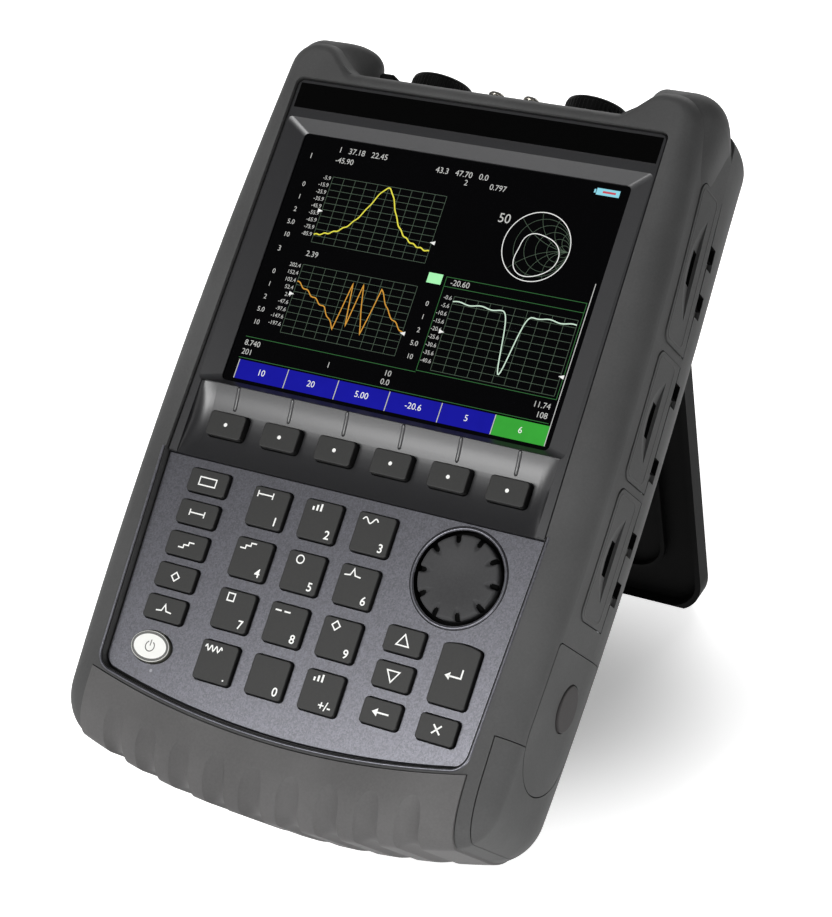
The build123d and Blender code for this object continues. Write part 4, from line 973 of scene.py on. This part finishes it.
for door, middle, length, apart in DOORS:
    half = length / 2 - DOOR_INSET
    path = round_corners(-half, DOOR_HINGE_EDGE, half, DOOR_WIDTH - DOOR_INSET, DOOR_CORNER)
    bead(f"door_bead_{door}", path, 1.0, 0.16, on_door(middle), case_rubber, f"door_{door}")
dish_rim = circle(KNOB_X, KNOB_Y, DISH_BEAD_RADIUS, 96)
bead("knob_dish_bead", dish_rim, 1.2, 0.35, raised(PLATE_TOP), flake_paint, "body")
# Painted shade: a black line round the dish stands for the shade in the gap.
ring_shade_line = stroke(circle(KNOB_X, KNOB_Y, DISH_SHADE_LINE_RADIUS, 96), 0.25, True)
print_sign("knob_ring_painted_shade_line", ring_shade_line, PLATE_TOP + INK_LIFT, painted_shade_black, "body")
bead("plate_rim_bead", plate_border(1.5), 1.1, 0.4, raised(RIM_TOP), flake_paint, "body", False)
# Painted shade: a black line along the plate's border stands for the shade in the gap.
rim_shade_line = stroke(plate_border(0.75), 0.3)
print_sign("plate_rim_painted_shade_line", rim_shade_line, RIM_TOP + INK_LIFT, painted_shade_black, "body")
print("beads made:", len(DOORS) + 2)

# %% [markdown]
# ## Coved ends of the shelf
# The shelf of the soft keys doesn't end in a bare wall: a cove, a hollow quarter round, leads up to the
# surround. It lets the mould open and keeps dirt out of the corner. A row of quarter ellipses across each
# end draws it.

# %% Coves at both ends of the shelf
COVE_INNER, COVE_OUTER, COVE_TOP = 69.5, 76.02, 3.6
COVE_LOW_Y, COVE_LENGTH, COVE_LIFT = -82.9, 29.0, 0.02
for side, name in ((-1, "left"), (1, "right")):
    rows = []
    for i in range(15):
        y = COVE_LOW_Y + COVE_LENGTH * i / 14
        low = shelf_height(y) + COVE_LIFT
        row = []
        for k in range(9):
            turn = math.pi / 2 * k / 8
            x = COVE_INNER + (COVE_OUTER - COVE_INNER) * math.sin(turn)
            row.append(on_face(side * x, y, COVE_TOP - (COVE_TOP - low) * math.cos(turn)))
        rows.append(row)
    add_rows(f"shelf_cove_{name}", rows, bezel_abs, "body")
print("cove radius in mm:", COVE_OUTER - COVE_INNER)

# %% [markdown]
# ## The knob's top
# The knob is a shallow moulded cup with ten finger notches cut into its rim, in a round dish. Its top is
# drawn anew as a grid of rings: the height of each point comes from its radius, less a notch where one is
# near. That gives the soft hollow a smooth shading. The wall of the dish and the bottoms of the notches lie
# in shadow, so black patches of painted shade are laid on them.

# %% Knob and painted shade in its dish
KNOB_RADIUS, KNOB_TOP, KNOB_BASE, KNOB_EDGE = 15.6, 3.8, -0.4, 1.0
HOLLOW_DEPTH, HOLLOW_RADIUS = 0.6, 13.6
NOTCHES, NOTCH_START, NOTCH_HALF, NOTCH_TAPER = 10, 11.0, 1.4, 2.5
NOTCH_SLOPE = math.tan(math.radians(26))
KNOB_STEPS, PIT_DEPTH, PIT_LIFT = 280, 0.7, 0.03
KNOB_RINGS = [0.02, 2, 4, 6, 8, 9.5, 10.6, 11.2, 11.7, 12.2, 12.7, 13.2, 13.7, 14.2, 14.6]
KNOB_RINGS += [14.9, 15.15, 15.35, 15.5, 15.58]
DISH_PROFILE = [(17.37, 2.46), (17.35, -0.96), (12.0, -0.96)]


def around_knob(u, v, height):
    return on_face(KNOB_X + u, KNOB_Y + v, height)


def notch_depth(radius, turn):
    reach = radius - NOTCH_START
    if reach <= 0:
        return 0.0
    pitch = 2 * math.pi / NOTCHES
    aside = abs((turn + pitch / 2) % pitch - pitch / 2) * radius
    half = NOTCH_HALF * min(1, math.sqrt(reach / NOTCH_TAPER))
    return NOTCH_SLOPE * reach * max(0, 1 - (aside / half) ** 2)


def knob_point(radius, step, lift=0.0):
    turn = 2 * math.pi * step / KNOB_STEPS
    hollow = math.cos(math.pi / 2 * min(radius / HOLLOW_RADIUS, 1)) ** 2
    over = max(0, radius - KNOB_RADIUS + KNOB_EDGE)
    height = KNOB_TOP - HOLLOW_DEPTH * hollow - KNOB_EDGE + math.sqrt(max(0, KNOB_EDGE**2 - over**2))
    height += lift - notch_depth(radius, turn)
    return around_knob(radius * math.cos(turn), radius * math.sin(turn), height)


rows = [[knob_point(radius, k) for k in range(KNOB_STEPS)] for radius in KNOB_RINGS + [KNOB_RADIUS]]
rows += spin([(KNOB_RADIUS, KNOB_BASE)], around_knob, KNOB_STEPS)
knob_top = add_rows("moulded_knob", rows, knob_plastic, "knob", True)
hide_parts("control_knob")
# Painted shade: black patches wherever a notch is deeper than PIT_DEPTH.
pits, quads = [], []
for low, high in zip(KNOB_RINGS, KNOB_RINGS[1:]):
    for k in range(KNOB_STEPS):
        if notch_depth((low + high) / 2, 2 * math.pi * (k + 0.5) / KNOB_STEPS) > PIT_DEPTH:
            quads.append(range(len(pits), len(pits) + 4))
            corners = [(low, k), (high, k), (high, k + 1), (low, k + 1)]
            pits += [knob_point(radius, step, PIT_LIFT) for radius, step in corners]
add_mesh("knob_notch_painted_shade", pits, quads, painted_shade_black, "knob")
# Painted shade: a black floor and wall inside the knob's dish.
rows = spin(DISH_PROFILE, around_knob, 72)
add_rows("knob_dish_painted_shade", rows, painted_shade_black, "body", True, False)
print("notches in the knob's rim:", NOTCHES)

# %% [markdown]
# ## Threads and ribs on the top
# The small jacks carry a fine coupling thread, a white plastic core and a gold contact. They are turned
# parts, so one profile, spun round its axis, draws a whole jack. The dust caps have fine ribs that give
# fingers a hold; they are moulded with the cap and stand out about a third of a millimetre.

# %% Turned jacks and ribbed caps
TOP_Y = 78.0
JACK_X, JACK_DEPTH = 7.5, 21.0
THREAD_TURNS, THREAD_PITCH, THREAD_START, THREAD_ROOT, THREAD_CREST = 8, 0.7, 1.75, 2.85, 3.17
CAP_X, CAP_DEPTH, CAP_RADIUS = 33.5, 25.0, 12.0
RIB_RISE = 0.00035


def on_top(x, depth):
    def place(u, v, height):
        return on_face(x + u, TOP_Y + height, v - depth)

    return place


jack_profile = [(4.2, 0), (4.2, 1.45), (4.05, 1.6), (2.85, 1.6)]
for i in range(THREAD_TURNS):
    root = THREAD_START + THREAD_PITCH * i
    jack_profile += [(THREAD_ROOT, root), (THREAD_CREST, root + THREAD_PITCH / 2)]
jack_profile += [(2.9, 7.6), (2.4, 7.6), (2.3, 7.5), (2.3, 4.1)]
points, polygons = [], []
for side in (-1, 1):
    rows = spin(jack_profile, on_top(side * JACK_X, JACK_DEPTH))
    polygons += [[corner + len(points) for corner in polygon] for polygon in skin(rows, True)]
    points += sum(rows, [])
jacks = add_mesh("turned_jacks", points, polygons, nickel, "body")
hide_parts("sma_jacks")

core_plastic = printed_ink("white_core_plastic", "#d8d6cf", "#e8e6df")
for side, name in ((-1, "left"), (1, "right")):
    for part, material, radius, height in (("core", core_plastic, 2.28, 4.3), ("contact", gold, 0.6, 4.35)):
        rows = spin([(radius, height), (0.01, height)], on_top(side * JACK_X, JACK_DEPTH), 20)
        add_rows(f"jack_{part}_{name}", rows, material, "body", True, False)
    profile = [(CAP_RADIUS, height) for height in (1.6, 1.9, 8.0, 8.3)]
    rows = spin(profile, on_top(side * CAP_X, CAP_DEPTH), 192)
    middle = on_face(side * CAP_X, 0, -CAP_DEPTH)
    for row in rows[1:3]:
        for k, point in enumerate(row):
            if k % 4 < 2:
                spoke = point - middle
                spoke -= UP * spoke.dot(UP)
                row[k] = point + spoke.normalized() * RIB_RISE
    add_rows(f"cap_ribs_{name}", rows, cap_plastic, f"cap_{name}", True, False)
print("thread turns on a jack:", THREAD_TURNS)

# %% [markdown]
# ## Ribs on the back of the stand
# From behind the stand would be a bare slab. Such stands are moulded with a raised border, which stiffens
# the thin floor of the tray, and with a few ribs near the foot, where a finger pulls it out of its well.
# Both are beads on the outer face, placed by the distance from the pivot.

# %% Border and finger ribs of the stand
STAND_OPEN, STAND_HALF_THICK = math.radians(52.5), 4.0
PIVOT_Y, PIVOT_DEPTH = 68.0, 61.9
STAND_DOWN = -UP * math.cos(STAND_OPEN) - OUT * math.sin(STAND_OPEN)
STAND_BACK = ACROSS.cross(STAND_DOWN)
RIBS, RIB_START, RIB_PITCH, RIB_HALF = 5, 148.0, 7.0, 28


def on_stand(x, reach, height):
    pivot = on_face(x, PIVOT_Y, -PIVOT_DEPTH)
    return pivot + (STAND_DOWN * reach + STAND_BACK * (STAND_HALF_THICK + height)) / 1000


border = round_corners(-49, 20, 49, 192, 11)
bead("stand_border", border, 2.2, 0.45, on_stand, stand_plastic, "stand")
for i in range(RIBS):
    reach = RIB_START + RIB_PITCH * i
    path = [(-RIB_HALF, reach), (0, reach), (RIB_HALF, reach)]
    bead(f"stand_rib_{i + 1}", path, 2.4, 0.45, on_stand, stand_plastic, "stand", False)
print("stand ribs made:", RIBS)

# %% [markdown]
# ## Studio
# A packshot like this is lit by two soft boxes in front at the left, a weak one at the right, a small one
# low beside the case and one behind, in pale surroundings. The paper curves up all round, like a studio
# sweep. The camera sees it lifted towards white, but less in a round patch under the instrument: that grey
# patch is a painted shadow. Everywhere the paper stays a matte surface that takes the real soft shadow too.

# %% Floor
FLOOR_LEVEL = -0.0003
# Painted shadow: near this point the lift towards white is weaker, so the floor is grey there even where no
# light is blocked.
PAINTED_SHADOW_MIDDLE = (0.03, 0.12, 0.0)
LIFT = {"From Min": 0.02, "From Max": 0.13, "To Min": 0.3, "To Max": 0.92}
SWEEP = [(0.01, FLOOR_LEVEL), (2.6, FLOOR_LEVEL)]
SWEEP += [(3.2, 0.08), (3.7, 0.4), (4.0, 0.9), (4.1, 1.6), (4.1, 2.6)]


def in_room(x, y, height):
    return (x, y, height)


rows = spin(SWEEP, in_room, 64)
floor_mesh = bpy.data.meshes.new("studio_floor")
floor_mesh.from_pydata(sum(rows, []), [], skin(rows, True))
floor_mesh.shade_smooth()
floor = bpy.data.objects.new("studio_floor", floor_mesh)
bpy.context.scene.collection.objects.link(floor)
floor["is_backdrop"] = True

paper = new_material("white_paper_sweep")
rays = add_node(paper, "ShaderNodeLightPath").outputs
place = add_node(paper, "ShaderNodeTexCoord")
# The distance from the painted shadow's middle sets how far the camera's lift towards white is weakened.
values = {"operation": "DISTANCE", 1: PAINTED_SHADOW_MIDDLE}
painted_shadow_distance = add_node(paper, "ShaderNodeVectorMath", values, {0: place.outputs["Object"]})
values = {"interpolation_type": "SMOOTHSTEP", **LIFT}
lift = add_node(paper, "ShaderNodeMapRange", values, {"Value": painted_shadow_distance.outputs["Value"]})
links = {0: rays["Is Glossy Ray"], 1: rays["Is Transmission Ray"]}
mirrored = add_node(paper, "ShaderNodeMath", {"operation": "MAXIMUM"}, links)
links = {0: rays["Is Camera Ray"], 1: mirrored.outputs[0]}
seen = add_node(paper, "ShaderNodeMath", {"operation": "MAXIMUM"}, links)
links = {0: seen.outputs[0], 1: lift.outputs["Result"]}
lifted = add_node(paper, "ShaderNodeMath", {"operation": "MULTIPLY"}, links)
matte = add_node(paper, "ShaderNodeBsdfDiffuse", {"Color": hex_colour("#f7f7f7")})
white = add_node(paper, "ShaderNodeEmission", {"Color": (1, 1, 1, 1)}, {"Strength": lifted.outputs[0]})
both = add_node(paper, "ShaderNodeAddShader", links={0: matte.outputs[0], 1: white.outputs[0]})
close_material(paper, both)
floor_mesh.materials.append(paper)
print("paper sweep laid")

# %% Soft boxes and surroundings
FRONT_AIM = (0, 0.0, 0.08)
SOFT_BOXES = (
    ("key_box", (-0.56, -1.0, 0.69), FRONT_AIM, 0.32, 0.28, 4.5),
    ("front_box", (-0.24, -1.06, 0.85), FRONT_AIM, 0.35, 0.3, 7.5),
    ("right_box", (0.55, -1.25, 0.4), FRONT_AIM, 0.5, 0.4, 1.3),
    ("low_box", (0.29, -0.14, 0.03), (0.09, -0.03, 0.05), 0.14, 0.06, 0.35),
    ("back_box", (-0.2, 1.35, 0.9), (0, 0.1, 0.1), 0.8, 0.5, 7),
)
for name, spot, aim, width, height, power in SOFT_BOXES:
    light = bpy.data.lights.new(name, "AREA")
    light.shape = "RECTANGLE"
    light.size = width
    light.size_y = height
    light.energy = power
    soft_box = bpy.data.objects.new(name, light)
    soft_box.location = spot
    soft_box.rotation_euler = (Vector(aim) - Vector(spot)).to_track_quat("-Z", "Y").to_euler()
    bpy.context.scene.collection.objects.link(soft_box)
world = bpy.data.worlds.new("studio_air")
bpy.context.scene.world = world
world.use_nodes = True
world.node_tree.nodes["Background"].inputs["Color"].default_value = (1, 1, 1, 1)
world.node_tree.nodes["Background"].inputs["Strength"].default_value = 0.2
print("soft boxes:", len(SOFT_BOXES))

# %% [markdown]
# ## Camera
# The photograph was taken from the front right, a little above the instrument, with a long lens. Its place
# was solved from the edges of the screen, the keys and the case, and is written here as it came out.

# %% Camera and view
camera_data = bpy.data.cameras.new("studio_camera")
camera_data.sensor_fit = "VERTICAL"
camera_data.sensor_height = 36.0
camera_data.lens = 97.56
camera = bpy.data.objects.new("studio_camera", camera_data)
camera.location = (0.43450, -0.65491, 0.52179)
camera.rotation_euler = [math.radians(turn) for turn in (64.619, 1.220, 30.262)]
bpy.context.scene.collection.objects.link(camera)
bpy.context.scene.camera = camera
bpy.context.scene.view_settings.view_transform = "Standard"

# %% Sizes and finish
seen_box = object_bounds()
sizes = {"cad": [list(corner) for corner in cad_box], "visual": [list(corner) for corner in seen_box]}
print("box of the solids:", sizes["cad"], "box of what is seen:", sizes["visual"])
